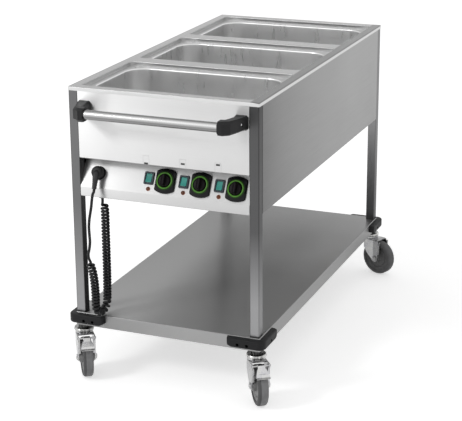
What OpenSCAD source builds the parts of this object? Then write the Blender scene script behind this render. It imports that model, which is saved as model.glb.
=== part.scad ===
// Heated serving trolley: three gastronorm wells in a sheet body on four square posts,
// with an open shelf below, a push handle, corner bumpers, castors and a curly mains lead.
// Millimetres, +Z up, floor at z = 0. +X is the trolley's right and -Y is its handle end.
// Every piece is drawn about the middle of the posts' footprint, and in_place() then
// centres the whole trolley on the origin.

/* [Body] */
// Width over the posts
body_w = 606; // [590:1:680]
// Length over the posts
body_l = 1210; // [1180:1:1400]
// Height of the top rim above the floor
rim_z = 920; // [880:1:980]
// Thickness of the body sheet
sheet = 1.5; // [1.2:0.1:2]
// Outer bend radius of the folded sheet
bend_r = 3; // [2.5:0.5:4]
// Width of the square posts
post_w = 30; // [28:1:36]
// Wall of the square posts
post_wall = 1.5; // [1.2:0.1:2.5]
// Radius of the posts' outer corners
post_r = 3; // [2.5:0.1:4]
// Depth of the top plate's outer lip
lip_h = 12; // [8:1:20]
// Drop from the rim to the lower edge of the front panel
front_h = 219; // [210:1:225]
// Drop from the rim to the lower edge of the side and rear panels
side_h = 338; // [330:1:345]
// Depth of the folded edges of the panels
fold = 12; // [8:1:14]

/* [Wells] */
// Width of the raised rim, and half the width of each cross bar
rim_w = 28; // [26:1:30]
// Drop from the rim to the pan ledge
recess_d = 13; // [10:1:16]
// Inside width of a well, across the trolley
well_w = 512; // [500:1:520]
// Inside length of a well, along the trolley
well_l = 306; // [295:1:310]
// Depth of a well below its ledge
well_depth = 200; // [120:1:203]
// Radius of a well's upright corners
well_r = 60; // [40:1:80]
// Radius rolled at the mouth of a well
mouth_r = 6; // [4:0.5:8]
// Radius between a well's wall and its floor
floor_r = 18; // [8:1:30]
// Sheet of the wells
well_wall = 1.2; // [0.8:0.1:1.4]
// Length of a heating mat under a well
heater_l = 200; // [150:1:260]
// Width of a heating mat, across the trolley
heater_w = 300; // [200:1:330]
// Thickness of a heating mat
heater_t = 2.5; // [1.5:0.5:2.5]

/* [Controls] */
// Height of the upright lip below the sloping control face
ctl_lip_h = 30; // [25:1:36]
// Lean of the control face from the upright
ctl_lean = 27.5; // [22:0.5:30]
// Distance of the last regulator from the right post
dial_in = 47; // [44:1:50]
// Spacing of the three sets of controls
dial_pitch = 113; // [110:1:115]
// Height of a regulator's centre up the control face
dial_v = 44; // [42:1:45]
// Width of a regulator's bezel
bezel_w = 65; // [60:1:66]
// Height of a regulator's bezel
bezel_h = 75; // [70:1:76]
// Diameter of a regulator's knob
knob_d = 41; // [36:1:42]
// Height of a knob above the bezel
knob_h = 22; // [18:1:26]
// Diameter of a knob's spindle
spindle_d = 6; // [5:0.5:7]
// Offset of a switch from its regulator
switch_x = -54; // [-55:1:-53]
// Height of a switch's centre up the control face
switch_v = 48; // [46:1:50]
// Width of a switch frame
switch_w = 31; // [29:1:32]
// Height of a switch frame
switch_h = 36; // [34:1:38]
// Travel of a rocker in degrees
rocker_travel = 14; // [8:1:16]
// Height of a pilot lamp's centre up the control face
lamp_v = 15.5; // [14:0.5:18]
// Diameter of a pilot lamp's lens
lamp_d = 12.5; // [10:0.5:13]

/* [Lower shelf] */
// Height of the shelf's top above the floor
shelf_z = 202; // [200:1:230]
// Depth of the shelf's skirt
skirt_h = 42; // [36:1:42]
// How far the shelf stands out past the posts
shelf_over = 2.5; // [2:0.5:5]
// Thickness of a corner bumper
bumper_t = 19; // [16:1:24]
// Height of a corner bumper
bumper_h = 29; // [24:1:32]
// Length of each arm of a corner bumper
bumper_arm = 121; // [100:1:150]

/* [Handle] */
// Diameter of the handle tube
tube_d = 29; // [25:1:32]
// Distance of the tube's axis in front of the posts
handle_out = 75; // [65:1:90]
// Drop from the rim to the tube's axis
handle_drop = 61; // [58:1:90]
// Height and depth of a bracket's grip block
grip_block = 38; // [36:1:42]

/* [Castors] */
// Diameter of a wheel
wheel_d = 125; // [120:1:125]
// Width of a wheel's tread
tread_w = 32; // [28:1:34]
// Trail of a wheel behind its swivel axis
trail = 40; // [36:1:42]
// Diameter of the wheel axles
axle_d = 12; // [10:1:12]
// Diameter of the castors' king pins
king_d = 12; // [10:1:14]
// Bearing of the front castors, from the handle end towards the right
front_swivel = 34; // [0:1:60]
// Bearing of the rear castors, from the handle end towards their own side
rear_swivel = 69; // [60:1:75]
// Travel of a brake pedal in degrees
pedal_travel = 4; // [2:1:4]

/* [Lead] */
// Diameter of the mains lead
cord_d = 8.5; // [6:0.5:9]
// Outer diameter of its curls
curls_d = 27; // [24:1:28]
// Pitch of the curls where they hang lowest
curl_pitch = 9.7; // [9.6:0.1:12]
// Share by which the weight below opens the highest curls
curl_sag = 0.1; // [0:0.02:0.4]
// Diameter of the parked plug
plug_d = 38; // [36:1:42]

/* [Hidden] */
$fn = 64;
// Running clearance on a radius
run_gap = 0.05;
// Clearance between faces of pieces that move past each other
face_gap = 0.3;
// How far a cutting shape runs past what it cuts
over = 1;
// Share that keeps equal entries of a table apart
tiny = 0.000001;
// Fineness of shapes that are hulled
soft_fn = 24;

// Plan radius left at the flat's corners inside a rolled edge
flat_r = 1;
// Width of metal shared by a well's flats and the profile carried round them
lap = 4;

half_w = body_w / 2;
half_l = body_l / 2;
post_x = half_w - post_w / 2;
post_y = half_l - post_w / 2;
post_in_x = half_w - post_w;
post_in_y = half_l - post_w;
front_reach = handle_out + grip_block / 2;
rear_reach = shelf_over + bumper_t;
body_y = (front_reach - rear_reach) / 2;

recess_w = body_w - 2 * rim_w;
well_pitch = floor(body_l / 3);
recess_l = well_pitch - 2 * rim_w;
recess_r = ceil((sqrt(2) * (post_w - rim_w) + bend_r + face_gap) / (sqrt(2) - 1));
ledge_z = rim_z - recess_d;
well_floor_z = ledge_z - well_depth;
well_under_z = well_floor_z - well_wall;
well_ys = [-well_pitch, 0, well_pitch];

panel_top_z = rim_z - bend_r;
front_z = rim_z - front_h;
side_z = rim_z - side_h;
cover_z = side_z + sheet;
crease_z = side_z + ctl_lip_h;
slope_run = (front_z - crease_z) * tan(ctl_lean);

last_dial_x = post_in_x - dial_in;
dial_xs = [last_dial_x - 2 * dial_pitch, last_dial_x - dial_pitch, last_dial_x];
bezel_t = 6;
bezel_corner_r = 16;
bezel_bow = 1.06;
boss_d = 58;
ring_out_d = 55;
ring_in_d = 46;
ring_z = 10;
ring_t = 2.5;
spindle_l = 34;
stat_w = 42;
stat_t = 24;
bush_d = 10;
switch_t = 5;
switch_corner_r = 2;
rocker_w = 19;
rocker_h = 27;
rocker_gap = 0.4;
rocker_shoulder = 1;
rocker_foot_share = 0.8;
rocker_dish_share = 0.6;
rocker_pin_d = 3;
rocker_pin_l = 2;
switch_body_t = 20;
switch_wall = 2;
lamp_dome = 4;
lamp_body_d = 9;
lamp_body_l = 22;

skirt_z = shelf_z - skirt_h;
shelf_hw = half_w + shelf_over;
shelf_hl = half_l + shelf_over;
bumper_drop = 2;
bumper_z = shelf_z - bumper_drop;
bumper_end_r = 12;
bumper_corner_r = 22;
bumper_hole_d = 8;
bumper_hole_depth = 10;
bumper_hole_xs = [54, 84];
bumper_hole_side = 70;

tube_z = rim_z - handle_drop;
grip_in = 63;
tube_half = post_in_x - grip_in;
tube_seat = 22;
foot_w = 46;
foot_h = 48;
foot_t = 7;
foot_round = 3;
block_round = 9;
block_w = 39;
handle_screw_d = 9;

wheel_r = wheel_d / 2;
tyre_t = 14;
tread_round = 9;
rim_step = 3;
groove_in = 7;
groove_r = 2;
hub_l = 46;
hub_boss_d = 34;
fork_in = 48;
fork_t = 3.5;
leg_foot_r = 13;
crown_gap = 3;
crown_z = wheel_d + crown_gap;
crown_t = 4;
crown_front = 52;
cup_d = 56;
cup_h = 8;
dish_d = 62;
dish_drop = 10;
dish_top_z = skirt_z - dish_drop;
dish_neck_d = 34;
stem_w = post_w - 2 * post_wall;
stem_l = 55;
king_head_d = 20;
king_head_h = 6;
axle_nut_d = 20;
axle_nut_h = 4;
pedal_pin_d = 6;
pedal_pin_x = 58;
pedal_pin_up = 3;
pedal_pin_z = crown_z + pedal_pin_up;
pedal_hub_d = 12;
pedal_hub_w = 22;
pedal_t = 3;
pedal_w = 41;
pedal_knee = 8;
pedal_run = 30;
pedal_fall = 17;
pedal_lip_run = 1;
pedal_lip_fall = 6;
pedal_lip = 7;
ear_t = 3;

drain_x = 150;
drain_d = 22;
drain_bore = 14;
valve_d = 32;
valve_l = 44;
valve_drop = 26;
valve_z = cover_z - valve_drop;
valve_stem_d = 8;
valve_stem_l = 9;
lever_l = 75;
lever_w = 14;
lever_t = 3;

socket_in = 54;
socket_x = -post_in_x + socket_in;
socket_v = 46;
socket_flange_d = 43;
socket_flange_t = 3;
socket_body_d = 34;
socket_body_l = 24;
plug_turn = 4;
plug_t = 22;
plug_dome = 4;
plug_arm_d = 19;
plug_arm_z = 24;
plug_arm_l = 30;
relief_d = 13;
relief_end_d = 11;
relief_l = 24;
relief_rib_d = 16;
relief_rib_t = 2.4;
relief_ribs = 4;
plug_pin_d = 4.8;
plug_pin_gap = 19;
plug_pin_l = 19;
gland_in = 59;
gland_x = -post_in_x + gland_in;
gland_back = 25;
gland_y = -half_l + gland_back;
gland_nut_d = 22;
gland_nut_h = 8;
gland_thread_d = 16;
gland_thread_l = 14;

curl_r = (curls_d - cord_d) / 2;
curl_gap = 1.1;
bend_span = 5;
curl_ramp = 14;
curl_stretch = 1.6;
curl_rings = 8;
curl_sides = 6;
route_steps = 8;
lead_sides = 10;
lead_stub = 9;

// The lead hangs in a loop: down from the gland, forwards in a half round above the shelf,
// and up again to the plug. The loop's two limbs lie this far apart along the trolley.
loop_out = 60;
// How far the loop's limbs lie to the side of each other
loop_side = 9;
// How far the curls' axis lies to the side of the gland
loop_shift = 7.5;
// How far the upper lead swings out to the side of the gland
lead_swing = 24;
// Clearance of the lowest curls above the shelf
loop_clear = 1.5;
// Straight stretch between the gland and the curls
cord_top_l = 4;
// Height where the curls end, as a share of the height from the shelf to the cover
curls_end_share = 0.52;
// Angle between the points of the loop's half round
loop_step = 30;

cord_start_z = cover_z - gland_nut_h - cord_top_l;
curls_end_z = shelf_z + curls_end_share * (cover_z - shelf_z);
loop_low_z = shelf_z + curls_d / 2 + loop_clear;
loop_z = loop_low_z + loop_out / 2;
plug_turned = [sin(plug_turn), -cos(plug_turn)] * (plug_arm_l + relief_l);
plug_end = slope_point(socket_x + plug_turned.x, socket_v + plug_turned.y, plug_arm_z);
plug_way = slope_point(sin(plug_turn), -cos(plug_turn), 0) - slope_point(0, 0, 0);

// Falling limb: share of the shift to the side, and share of the way down to the half round
fall_places = [
    [0, 0], [0.3, 0.03], [0.8, 0.075], [1, 0.13], [1, 0.3], [1, 0.5], [1, 0.7], [0.9, 0.87],
    [0.8, 0.94]
];
// Rising limb: share of the swing to the side, and share of the way up from the half round
rise_places = [
    [0.146, 0.15], [0.167, 0.29], [0.208, 0.43], [0.29, 0.565],
    [0.417, 0.69], [0.625, 0.805], [0.875, 0.91], [1, 1]
];
// Upper lead: shares of the swing, of the loop's depth, and of the way up to the plug
lead_places = [
    [0.92, 1.02, 0.065], [0.75, 1.02, 0.148], [0.655, 1.02, 0.24], [0.69, 1.02, 0.342],
    [0.72, 1.02, 0.453], [0.625, 1.02, 0.565], [0.45, 1.02, 0.666], [0.29, 1.02, 0.76],
    [0.19, 1.01, 0.851], [0.115, 0.95, 0.935]
];
// Share of the shift to the side where the half round starts
loop_start_share = 0.7;
curls_route = concat(
    [
        for (p = fall_places)
            [gland_x + p[0] * loop_shift, gland_y, cord_start_z + p[1] * (loop_z - cord_start_z)]
    ],
    [
        for (a = [0 : loop_step : 180])
            [
                gland_x + loop_start_share * loop_shift - loop_side * (1 - cos(a)) / 2,
                gland_y - loop_out * (1 - cos(a)) / 2,
                loop_z - loop_out / 2 * sin(a)
            ]
    ],
    [
        for (p = rise_places)
            [gland_x - p[0] * lead_swing, gland_y - loop_out, loop_z + p[1] * (curls_end_z - loop_z)]
    ]
);
lead_route = [
    for (p = lead_places)
        [
            gland_x - p[0] * lead_swing,
            gland_y - p[1] * loop_out,
            curls_end_z + p[2] * (plug_end.z - curls_end_z)
        ]
];

// Moves a piece drawn about the posts' footprint to its place about the origin.
module in_place() {
    translate([0, body_y, 0])
        children();
}

// Puts children on the control face: x across, y up the slope from the crease, z outwards.
module on_slope(x, v) {
    translate([x, -half_l, crease_z])
        rotate([90 - ctl_lean, 0, 0])
            translate([0, v, 0])
                children();
}

// A point of the control face's own frame, as a place about the posts' footprint.
function slope_point(x, v, out) = [
    x,
    -half_l + v * sin(ctl_lean) - out * cos(ctl_lean),
    crease_z + v * cos(ctl_lean) + out * sin(ctl_lean)
];

// Rounded rectangle centred on the origin.
module rounded_rect(w, l, r) {
    for (sx = [-1, 1])
        for (sy = [-1, 1])
            translate([sx * (w / 2 - r), sy * (l / 2 - r)])
                circle(r);
    square([w - 2 * r, l], center = true);
    square([w, l - 2 * r], center = true);
}

// Carries a profile round a rounded rectangle. The profile's x runs outwards from the
// centres of the corner arcs, so x = r lies on the rectangle itself, and its y is height.
module carry_round(w, l, r) {
    for (turn = [0, 180])
        rotate([0, 0, turn]) {
            translate([w / 2 - r, l / 2 - r, 0])
                rotate([90, 0, 0])
                    linear_extrude(l - 2 * r)
                        children();
            translate([w / 2 - r, l / 2 - r, 0])
                rotate_extrude(angle = 90)
                    children();
        }
    for (turn = [90, 270])
        rotate([0, 0, turn]) {
            translate([l / 2 - r, w / 2 - r, 0])
                rotate([90, 0, 0])
                    linear_extrude(w - 2 * r)
                        children();
            translate([l / 2 - r, w / 2 - r, 0])
                rotate_extrude(angle = 90)
                    children();
        }
}

// Quarter of a ring, from its centre towards +x and +y when both signs are 1.
module quarter_ring(r, t, sx, sy) {
    intersection() {
        difference() {
            circle(r);
            circle(r - t);
        }
        translate([min(0, sx * r), min(0, sy * r)])
            square(r);
    }
}

// Profile of a folded sheet along its centre line.
module bent_sheet(points, t) {
    for (i = [0 : len(points) - 2]) {
        step = points[i + 1] - points[i];
        translate(points[i])
            rotate(atan2(step.y, step.x))
                translate([0, -t / 2])
                    square([norm(step), t]);
    }
    for (i = [1 : len(points) - 2])
        translate(points[i])
            circle(d = t);
}

// The posts' outlines in plan, cut out of what they pass through.
module post_outlines() {
    for (sx = [-1, 1])
        for (sy = [-1, 1])
            translate([sx * post_x, sy * post_y])
                rounded_rect(post_w, post_w, post_r);
}

// Top plate: a pressed sheet with a rolled outer lip and three stepped recesses.
module top_plate() {
    plate_w = body_w + 2 * sheet;
    plate_l = body_l + 2 * sheet;
    color("gainsboro")
        in_place()
            translate([0, 0, rim_z]) {
                translate([0, 0, -sheet])
                    linear_extrude(sheet)
                        difference() {
                            rounded_rect(plate_w - 2 * bend_r, plate_l - 2 * bend_r, flat_r);
                            for (y = well_ys)
                                translate([0, y])
                                    rounded_rect(recess_w + 2 * bend_r, recess_l + 2 * bend_r,
                                                 recess_r + bend_r);
                        }
                carry_round(plate_w, plate_l, flat_r + bend_r) {
                    translate([flat_r, -bend_r])
                        quarter_ring(bend_r, sheet, 1, 1);
                    translate([flat_r + bend_r - sheet, -lip_h])
                        square([sheet, lip_h - bend_r]);
                }
                for (y = well_ys)
                    translate([0, y, 0])
                        carry_round(recess_w, recess_l, recess_r) {
                            translate([recess_r + bend_r, -bend_r])
                                quarter_ring(bend_r, sheet, -1, 1);
                            translate([recess_r, -recess_d - well_wall])
                                square([sheet, recess_d + well_wall - bend_r]);
                        }
            }
}

// One well: a ledge for the pan's rim, a rolled mouth, upright walls and a rounded floor.
module well(y) {
    color("silver")
        in_place()
            translate([0, y, ledge_z]) {
                translate([0, 0, -well_wall])
                    linear_extrude(well_wall)
                        difference() {
                            rounded_rect(recess_w, recess_l, recess_r);
                            rounded_rect(well_w + 2 * mouth_r + lap, well_l + 2 * mouth_r + lap,
                                         well_r + mouth_r + lap / 2);
                        }
                carry_round(well_w, well_l, well_r) {
                    translate([well_r + mouth_r, -well_wall])
                        square([lap, well_wall]);
                    translate([well_r + mouth_r, -mouth_r])
                        quarter_ring(mouth_r, well_wall, -1, 1);
                    translate([well_r, -well_depth + floor_r])
                        square([well_wall, well_depth - mouth_r - floor_r]);
                    translate([well_r - floor_r, -well_depth + floor_r])
                        quarter_ring(floor_r + well_wall, well_wall, 1, -1);
                    translate([well_r - floor_r - lap, -well_depth - well_wall])
                        square([lap, well_wall]);
                }
                difference() {
                    translate([0, 0, -well_depth - well_wall])
                        linear_extrude(well_wall)
                            rounded_rect(well_w - 2 * floor_r - lap, well_l - 2 * floor_r - lap,
                                         well_r - floor_r - lap / 2);
                    translate([drain_x, 0, -well_depth - well_wall - over])
                        cylinder(d = drain_bore, h = well_wall + 2 * over);
                }
            }
}

module well_front() {
    well(well_ys[0]);
}

module well_middle() {
    well(well_ys[1]);
}

module well_rear() {
    well(well_ys[2]);
}

// One square post, from the shelf's lower edge to the underside of the top plate.
module post(sx, sy) {
    color("silver")
        in_place()
            translate([sx * post_x, sy * post_y, skirt_z])
                linear_extrude(panel_top_z - skirt_z)
                    difference() {
                        rounded_rect(post_w, post_w, post_r);
                        rounded_rect(post_w - 2 * post_wall, post_w - 2 * post_wall, post_r - post_wall);
                    }
}

module post_front_left() {
    post(-1, -1);
}

module post_front_right() {
    post(1, -1);
}

module post_rear_left() {
    post(-1, 1);
}

module post_rear_right() {
    post(1, 1);
}

// Front panel: a flat tray whose lower edge folds back over the control housing.
module front_panel() {
    height = panel_top_z - front_z;
    color("whitesmoke")
        in_place()
            translate([-post_in_x, -half_l, front_z]) {
                cube([2 * post_in_x, sheet, height]);
                cube([2 * post_in_x, slope_run + fold, sheet]);
                for (x = [0, 2 * post_in_x - sheet])
                    translate([x, 0, 0])
                        cube([sheet, fold, height]);
            }
}

// Rear panel: a tray with a folded lower edge and folded ends.
module rear_panel() {
    height = panel_top_z - side_z;
    color("gainsboro")
        in_place()
            translate([-post_in_x, half_l, side_z]) {
                translate([0, -sheet, 0])
                    cube([2 * post_in_x, sheet, height]);
                translate([0, -fold, 0])
                    cube([2 * post_in_x, fold, sheet]);
                for (x = [0, 2 * post_in_x - sheet])
                    translate([x, -fold, 0])
                        cube([sheet, fold, height]);
            }
}

// One side panel: a tray between the posts, folded inwards along its ends and lower edge.
module side_panel(side) {
    height = panel_top_z - side_z;
    color("silver")
        in_place()
            scale([side, 1, 1])
                translate([half_w, -post_in_y, side_z]) {
                    translate([-sheet, 0, 0])
                        cube([sheet, 2 * post_in_y, height]);
                    translate([-fold, 0, 0])
                        cube([fold, 2 * post_in_y, sheet]);
                    for (y = [0, 2 * post_in_y - sheet])
                        translate([-fold, y, 0])
                            cube([fold, sheet, height]);
                }
}

module side_panel_left() {
    side_panel(-1);
}

module side_panel_right() {
    side_panel(1);
}

// Holes through the control face for the spindles, switches, lamps and parking socket.
module control_holes() {
    for (x = dial_xs) {
        on_slope(x, dial_v)
            translate([0, 0, -bezel_t])
                cylinder(d = bush_d, h = 2 * bezel_t);
        on_slope(x + switch_x, switch_v)
            cube([rocker_w + 2 * switch_wall + 2 * rocker_pin_l, rocker_h + 2 * switch_wall, 2 * switch_t],
                 center = true);
        on_slope(x + switch_x + rocker_pin_l, lamp_v)
            translate([0, 0, -switch_t])
                cylinder(d = lamp_body_d, h = 2 * switch_t);
    }
    on_slope(socket_x, socket_v)
        translate([0, 0, -switch_t])
            cylinder(d = socket_body_d, h = 2 * switch_t);
}

// Control panel: one folded sheet with a floor edge, an upright lip, the slope and a top edge.
module control_panel() {
    t = sheet / 2;
    nib = t * tan(ctl_lean / 2);
    top_in = t * (1 / cos(ctl_lean) - tan(ctl_lean));
    color("white")
        in_place()
            difference() {
                translate([-post_in_x, 0, 0])
                    rotate([90, 0, 90])
                        linear_extrude(2 * post_in_x)
                            bent_sheet([
                                [-half_l + fold, side_z + t],
                                [-half_l + t, side_z + t],
                                [-half_l + t, crease_z - nib],
                                [-half_l + slope_run + top_in, front_z - t],
                                [-half_l + slope_run + fold, front_z - t]
                            ], sheet);
                control_holes();
            }
}

// Bottom cover: a flat sheet on the panels' folded edges, notched round the posts.
module bottom_cover() {
    color("silver")
        in_place()
            translate([0, 0, cover_z])
                linear_extrude(sheet)
                    difference() {
                        square([body_w - 2 * sheet, body_l - 2 * sheet], center = true);
                        for (x = [-1, 1])
                            for (y = [-1, 1])
                                translate([x * post_x, y * post_y])
                                    square(post_w, center = true);
                        for (x = [-1, 1])
                            for (y = [-1, 1])
                                translate([x * (post_in_x - fold / 2), y * (half_l - fold / 2)])
                                    square([fold + 2 * face_gap, fold + 2 * face_gap], center = true);
                        for (y = [-1, 1])
                            for (x = [-1, 1])
                                translate([x * (half_w - fold / 2), y * (post_in_y - fold / 2)])
                                    square([fold + 2 * face_gap, fold + 2 * face_gap], center = true);
                        for (y = well_ys)
                            translate([drain_x, y])
                                circle(d = drain_d);
                        translate([gland_x, gland_y])
                            circle(d = gland_thread_d);
                    }
}

// Lower shelf: a tray turned upside down, with a rolled top edge and a folded lower edge.
module lower_shelf() {
    w = 2 * shelf_hw;
    l = 2 * shelf_hl;
    color("darkgray")
        in_place()
            difference() {
                translate([0, 0, shelf_z]) {
                    translate([0, 0, -sheet])
                        linear_extrude(sheet)
                            rounded_rect(w - 2 * bend_r, l - 2 * bend_r, flat_r);
                    carry_round(w, l, flat_r + bend_r) {
                        translate([flat_r, -bend_r])
                            quarter_ring(bend_r, sheet, 1, 1);
                        translate([flat_r + bend_r - sheet, -skirt_h])
                            square([sheet, skirt_h - bend_r]);
                    }
                    translate([0, 0, -skirt_h])
                        linear_extrude(sheet)
                            difference() {
                                rounded_rect(w - sheet, l - sheet, bend_r);
                                square([w - 2 * fold, l - 2 * fold], center = true);
                            }
                }
                translate([0, 0, skirt_z - over])
                    linear_extrude(skirt_h + 2 * over)
                        post_outlines();
            }
}

// Handle tube, with its ends seated in the two brackets.
module handle_tube() {
    color("silver")
        in_place()
            translate([-tube_half - tube_seat, -half_l - handle_out, tube_z])
                rotate([0, 90, 0])
                    difference() {
                        cylinder(d = tube_d, h = 2 * (tube_half + tube_seat));
                        translate([0, 0, -over])
                            cylinder(d = tube_d - 2 * post_wall, h = 2 * (tube_half + tube_seat + over));
                    }
}

// A block with all its edges rounded, given by its low corner and its size.
module soft_block(low, size, r) {
    hull()
        for (ix = [0, 1])
            for (iy = [0, 1])
                for (iz = [0, 1])
                    translate([
                        low.x + r + ix * (size.x - 2 * r),
                        low.y + r + iy * (size.y - 2 * r),
                        low.z + r + iz * (size.z - 2 * r)
                    ])
                        sphere(r, $fn = soft_fn);
}

// One moulded bracket: a grip block round the tube, an elbow and a foot on the front panel.
module handle_bracket(side) {
    half = grip_block / 2;
    foot_x = post_in_x - foot_w;
    color("dimgray")
        in_place()
            scale([side, 1, 1])
                difference() {
                    translate([0, -half_l, tube_z]) {
                        soft_block([tube_half, -handle_out - half, -half],
                                   [block_w, grip_block, grip_block], block_round);
                        hull() {
                            soft_block([tube_half + block_w / 4, -handle_out - half / 2, -half],
                                       [block_w * 3 / 4, grip_block * 3 / 4, grip_block], block_round);
                            translate([foot_x + foot_t, -foot_t, -half + foot_round])
                                cube([foot_w - 2 * foot_t, foot_t / 2, grip_block - 2 * foot_round]);
                        }
                        translate([foot_x + foot_w / 2, 0, 0])
                            rotate([90, 0, 0])
                                linear_extrude(foot_t)
                                    rounded_rect(foot_w, foot_h, foot_t);
                    }
                    translate([tube_half - over, -half_l - handle_out, tube_z])
                        rotate([0, 90, 0])
                            cylinder(d = tube_d, h = tube_seat + over);
                }
}

module handle_bracket_left() {
    handle_bracket(-1);
}

module handle_bracket_right() {
    handle_bracket(1);
}

// The screws behind the front panel that hold the brackets' feet.
module handle_screws() {
    head_h = handle_screw_d / 2;
    color("silver")
        in_place()
            for (side = [-1, 1])
                for (z = [-1, 1])
                    translate([side * (post_in_x - foot_w / 2), -half_l + sheet, tube_z + z * foot_h / 4])
                        rotate([-90, 0, 0])
                            cylinder(d = handle_screw_d, h = head_h);
}

// One corner bumper: an L of moulded rubber round the shelf's corner.
module bumper(sx, sy) {
    out_x = shelf_hw + bumper_t;
    out_y = shelf_hl + bumper_t;
    color([0.16, 0.16, 0.17])
        in_place()
            scale([sx, sy, 1])
                difference() {
                    translate([0, 0, bumper_z - bumper_h])
                        linear_extrude(bumper_h)
                            difference() {
                                union() {
                                    translate([out_x - bumper_arm + bumper_end_r, out_y - bumper_end_r])
                                        circle(bumper_end_r);
                                    translate([out_x - bumper_arm, shelf_hl])
                                        square([bumper_arm - bumper_corner_r, bumper_t - bumper_end_r]);
                                    translate([out_x - bumper_arm + bumper_end_r, shelf_hl])
                                        square([bumper_arm - bumper_end_r - bumper_corner_r, bumper_t]);
                                    translate([out_x - bumper_end_r, out_y - bumper_arm + bumper_end_r])
                                        circle(bumper_end_r);
                                    translate([shelf_hw, out_y - bumper_arm])
                                        square([bumper_t - bumper_end_r, bumper_arm - bumper_corner_r]);
                                    translate([shelf_hw, out_y - bumper_arm + bumper_end_r])
                                        square([bumper_t, bumper_arm - bumper_end_r - bumper_corner_r]);
                                    translate([out_x - bumper_corner_r, out_y - bumper_corner_r])
                                        circle(bumper_corner_r);
                                }
                                rounded_rect(2 * shelf_hw, 2 * shelf_hl, flat_r + bend_r);
                            }
                    for (x = bumper_hole_xs)
                        translate([out_x - x, out_y - bumper_hole_depth, bumper_z - bumper_h * 2 / 3])
                            rotate([-90, 0, 0])
                                cylinder(d = bumper_hole_d, h = bumper_hole_depth + over);
                    translate([
                        out_x - bumper_hole_depth,
                        out_y - bumper_hole_side,
                        bumper_z - bumper_h * 2 / 3
                    ])
                        rotate([0, 90, 0])
                            cylinder(d = bumper_hole_d, h = bumper_hole_depth + over);
                }
}

module bumper_front_left() {
    bumper(-1, -1);
}

module bumper_front_right() {
    bumper(1, -1);
}

module bumper_rear_left() {
    bumper(-1, 1);
}

module bumper_rear_right() {
    bumper(1, 1);
}

// Castor frame at one corner: x runs along the trail, z up from the floor.
module at_castor(sx, sy) {
    bearing = sy < 0 ? front_swivel : sx * rear_swivel;
    in_place()
        translate([sx * post_x, sy * post_y, 0])
            rotate([0, 0, bearing - 90])
                children();
}

// Castor heads: a square stem in the post, a bearing dish and the king pin, four alike.
module castor_heads() {
    cup_top = crown_z + crown_t + cup_h;
    color("lightsteelblue")
        in_place()
            for (sx = [-1, 1])
                for (sy = [-1, 1])
                    translate([sx * post_x, sy * post_y, 0]) {
                        translate([0, 0, skirt_z])
                            linear_extrude(stem_l)
                                rounded_rect(stem_w, stem_w, post_r - post_wall);
                        rotate_extrude()
                            difference() {
                                union() {
                                    translate([0, dish_top_z])
                                        square([dish_neck_d / 2, skirt_z - dish_top_z]);
                                    translate([0, crown_z + crown_t + cup_h / 2])
                                        square([
                                            dish_d / 2,
                                            dish_top_z - crown_z - crown_t - cup_h / 2 - bend_r
                                        ]);
                                    translate([0, dish_top_z - bend_r])
                                        square([dish_d / 2 - bend_r, bend_r]);
                                    translate([dish_d / 2 - bend_r, dish_top_z - bend_r])
                                        circle(bend_r);
                                }
                                translate([-over, crown_z])
                                    square([cup_d / 2 + face_gap + over, cup_top - crown_z + face_gap]);
                            }
                        translate([0, 0, crown_z - face_gap - king_head_h]) {
                            cylinder(d = king_d, h = skirt_z - crown_z + king_head_h);
                            cylinder(d = king_head_d, h = king_head_h);
                        }
                    }
}

// One swivel fork: bearing cup, crown, two tapering legs and the axle bolt.
module fork(sx, sy, braked) {
    leg_front = trail + leg_foot_r;
    color("lightsteelblue")
        at_castor(sx, sy)
            difference() {
                union() {
                    translate([0, 0, crown_z])
                        cylinder(d = cup_d, h = crown_t + cup_h);
                    translate([-cup_d / 4, -fork_in / 2 - fork_t, crown_z])
                        cube([cup_d / 4 + crown_front, fork_in + 2 * fork_t, crown_t]);
                    for (y = [-fork_in / 2 - fork_t, fork_in / 2])
                        translate([0, y + fork_t, 0])
                            rotate([90, 0, 0])
                                linear_extrude(fork_t)
                                    hull() {
                                        translate([-cup_d / 4, crown_z])
                                            square([cup_d / 4 + crown_front, crown_t]);
                                        translate([trail, wheel_r])
                                            circle(leg_foot_r);
                                    }
                    translate([trail, fork_in / 2 + fork_t + axle_nut_h, wheel_r])
                        rotate([90, 0, 0])
                            cylinder(d = axle_d, h = fork_in + 2 * fork_t + 2 * axle_nut_h);
                    for (y = [-fork_in / 2 - fork_t, fork_in / 2 + fork_t + axle_nut_h])
                        translate([trail, y, wheel_r])
                            rotate([90, 0, 0])
                                cylinder(d = axle_nut_d, h = axle_nut_h, $fn = 6);
                    if (braked)
                        pedal_ears();
                }
                translate([0, 0, crown_z - over])
                    cylinder(d = king_d + 2 * run_gap, h = crown_t + cup_h + 2 * over);
            }
}

// The two ears on the crown and the pin between them, for a brake pedal.
module pedal_ears() {
    for (y = [-pedal_hub_w / 2 - face_gap, pedal_hub_w / 2 + face_gap + ear_t])
        translate([0, y, 0])
            rotate([90, 0, 0])
                linear_extrude(ear_t)
                    hull() {
                        translate([pedal_pin_x, pedal_pin_z])
                            circle(pedal_pin_d);
                        translate([crown_front - 2 * pedal_pin_d, crown_z])
                            square([2 * pedal_pin_d, crown_t]);
                    }
    translate([pedal_pin_x, pedal_hub_w / 2 + face_gap + ear_t, pedal_pin_z])
        rotate([90, 0, 0])
            cylinder(d = pedal_pin_d, h = pedal_hub_w + 2 * face_gap + 2 * ear_t);
}

module fork_front_left() {
    fork(-1, -1, true);
}

module fork_front_right() {
    fork(1, -1, true);
}

module fork_rear_left() {
    fork(-1, 1, false);
}

module fork_rear_right() {
    fork(1, 1, false);
}

// Turns a profile about the axle of one castor: x is the radius, y runs along the axle.
module about_axle(sx, sy) {
    at_castor(sx, sy)
        translate([trail, 0, wheel_r])
            rotate([90, 0, 0])
                rotate_extrude($fn = 96)
                    children();
}

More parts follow.
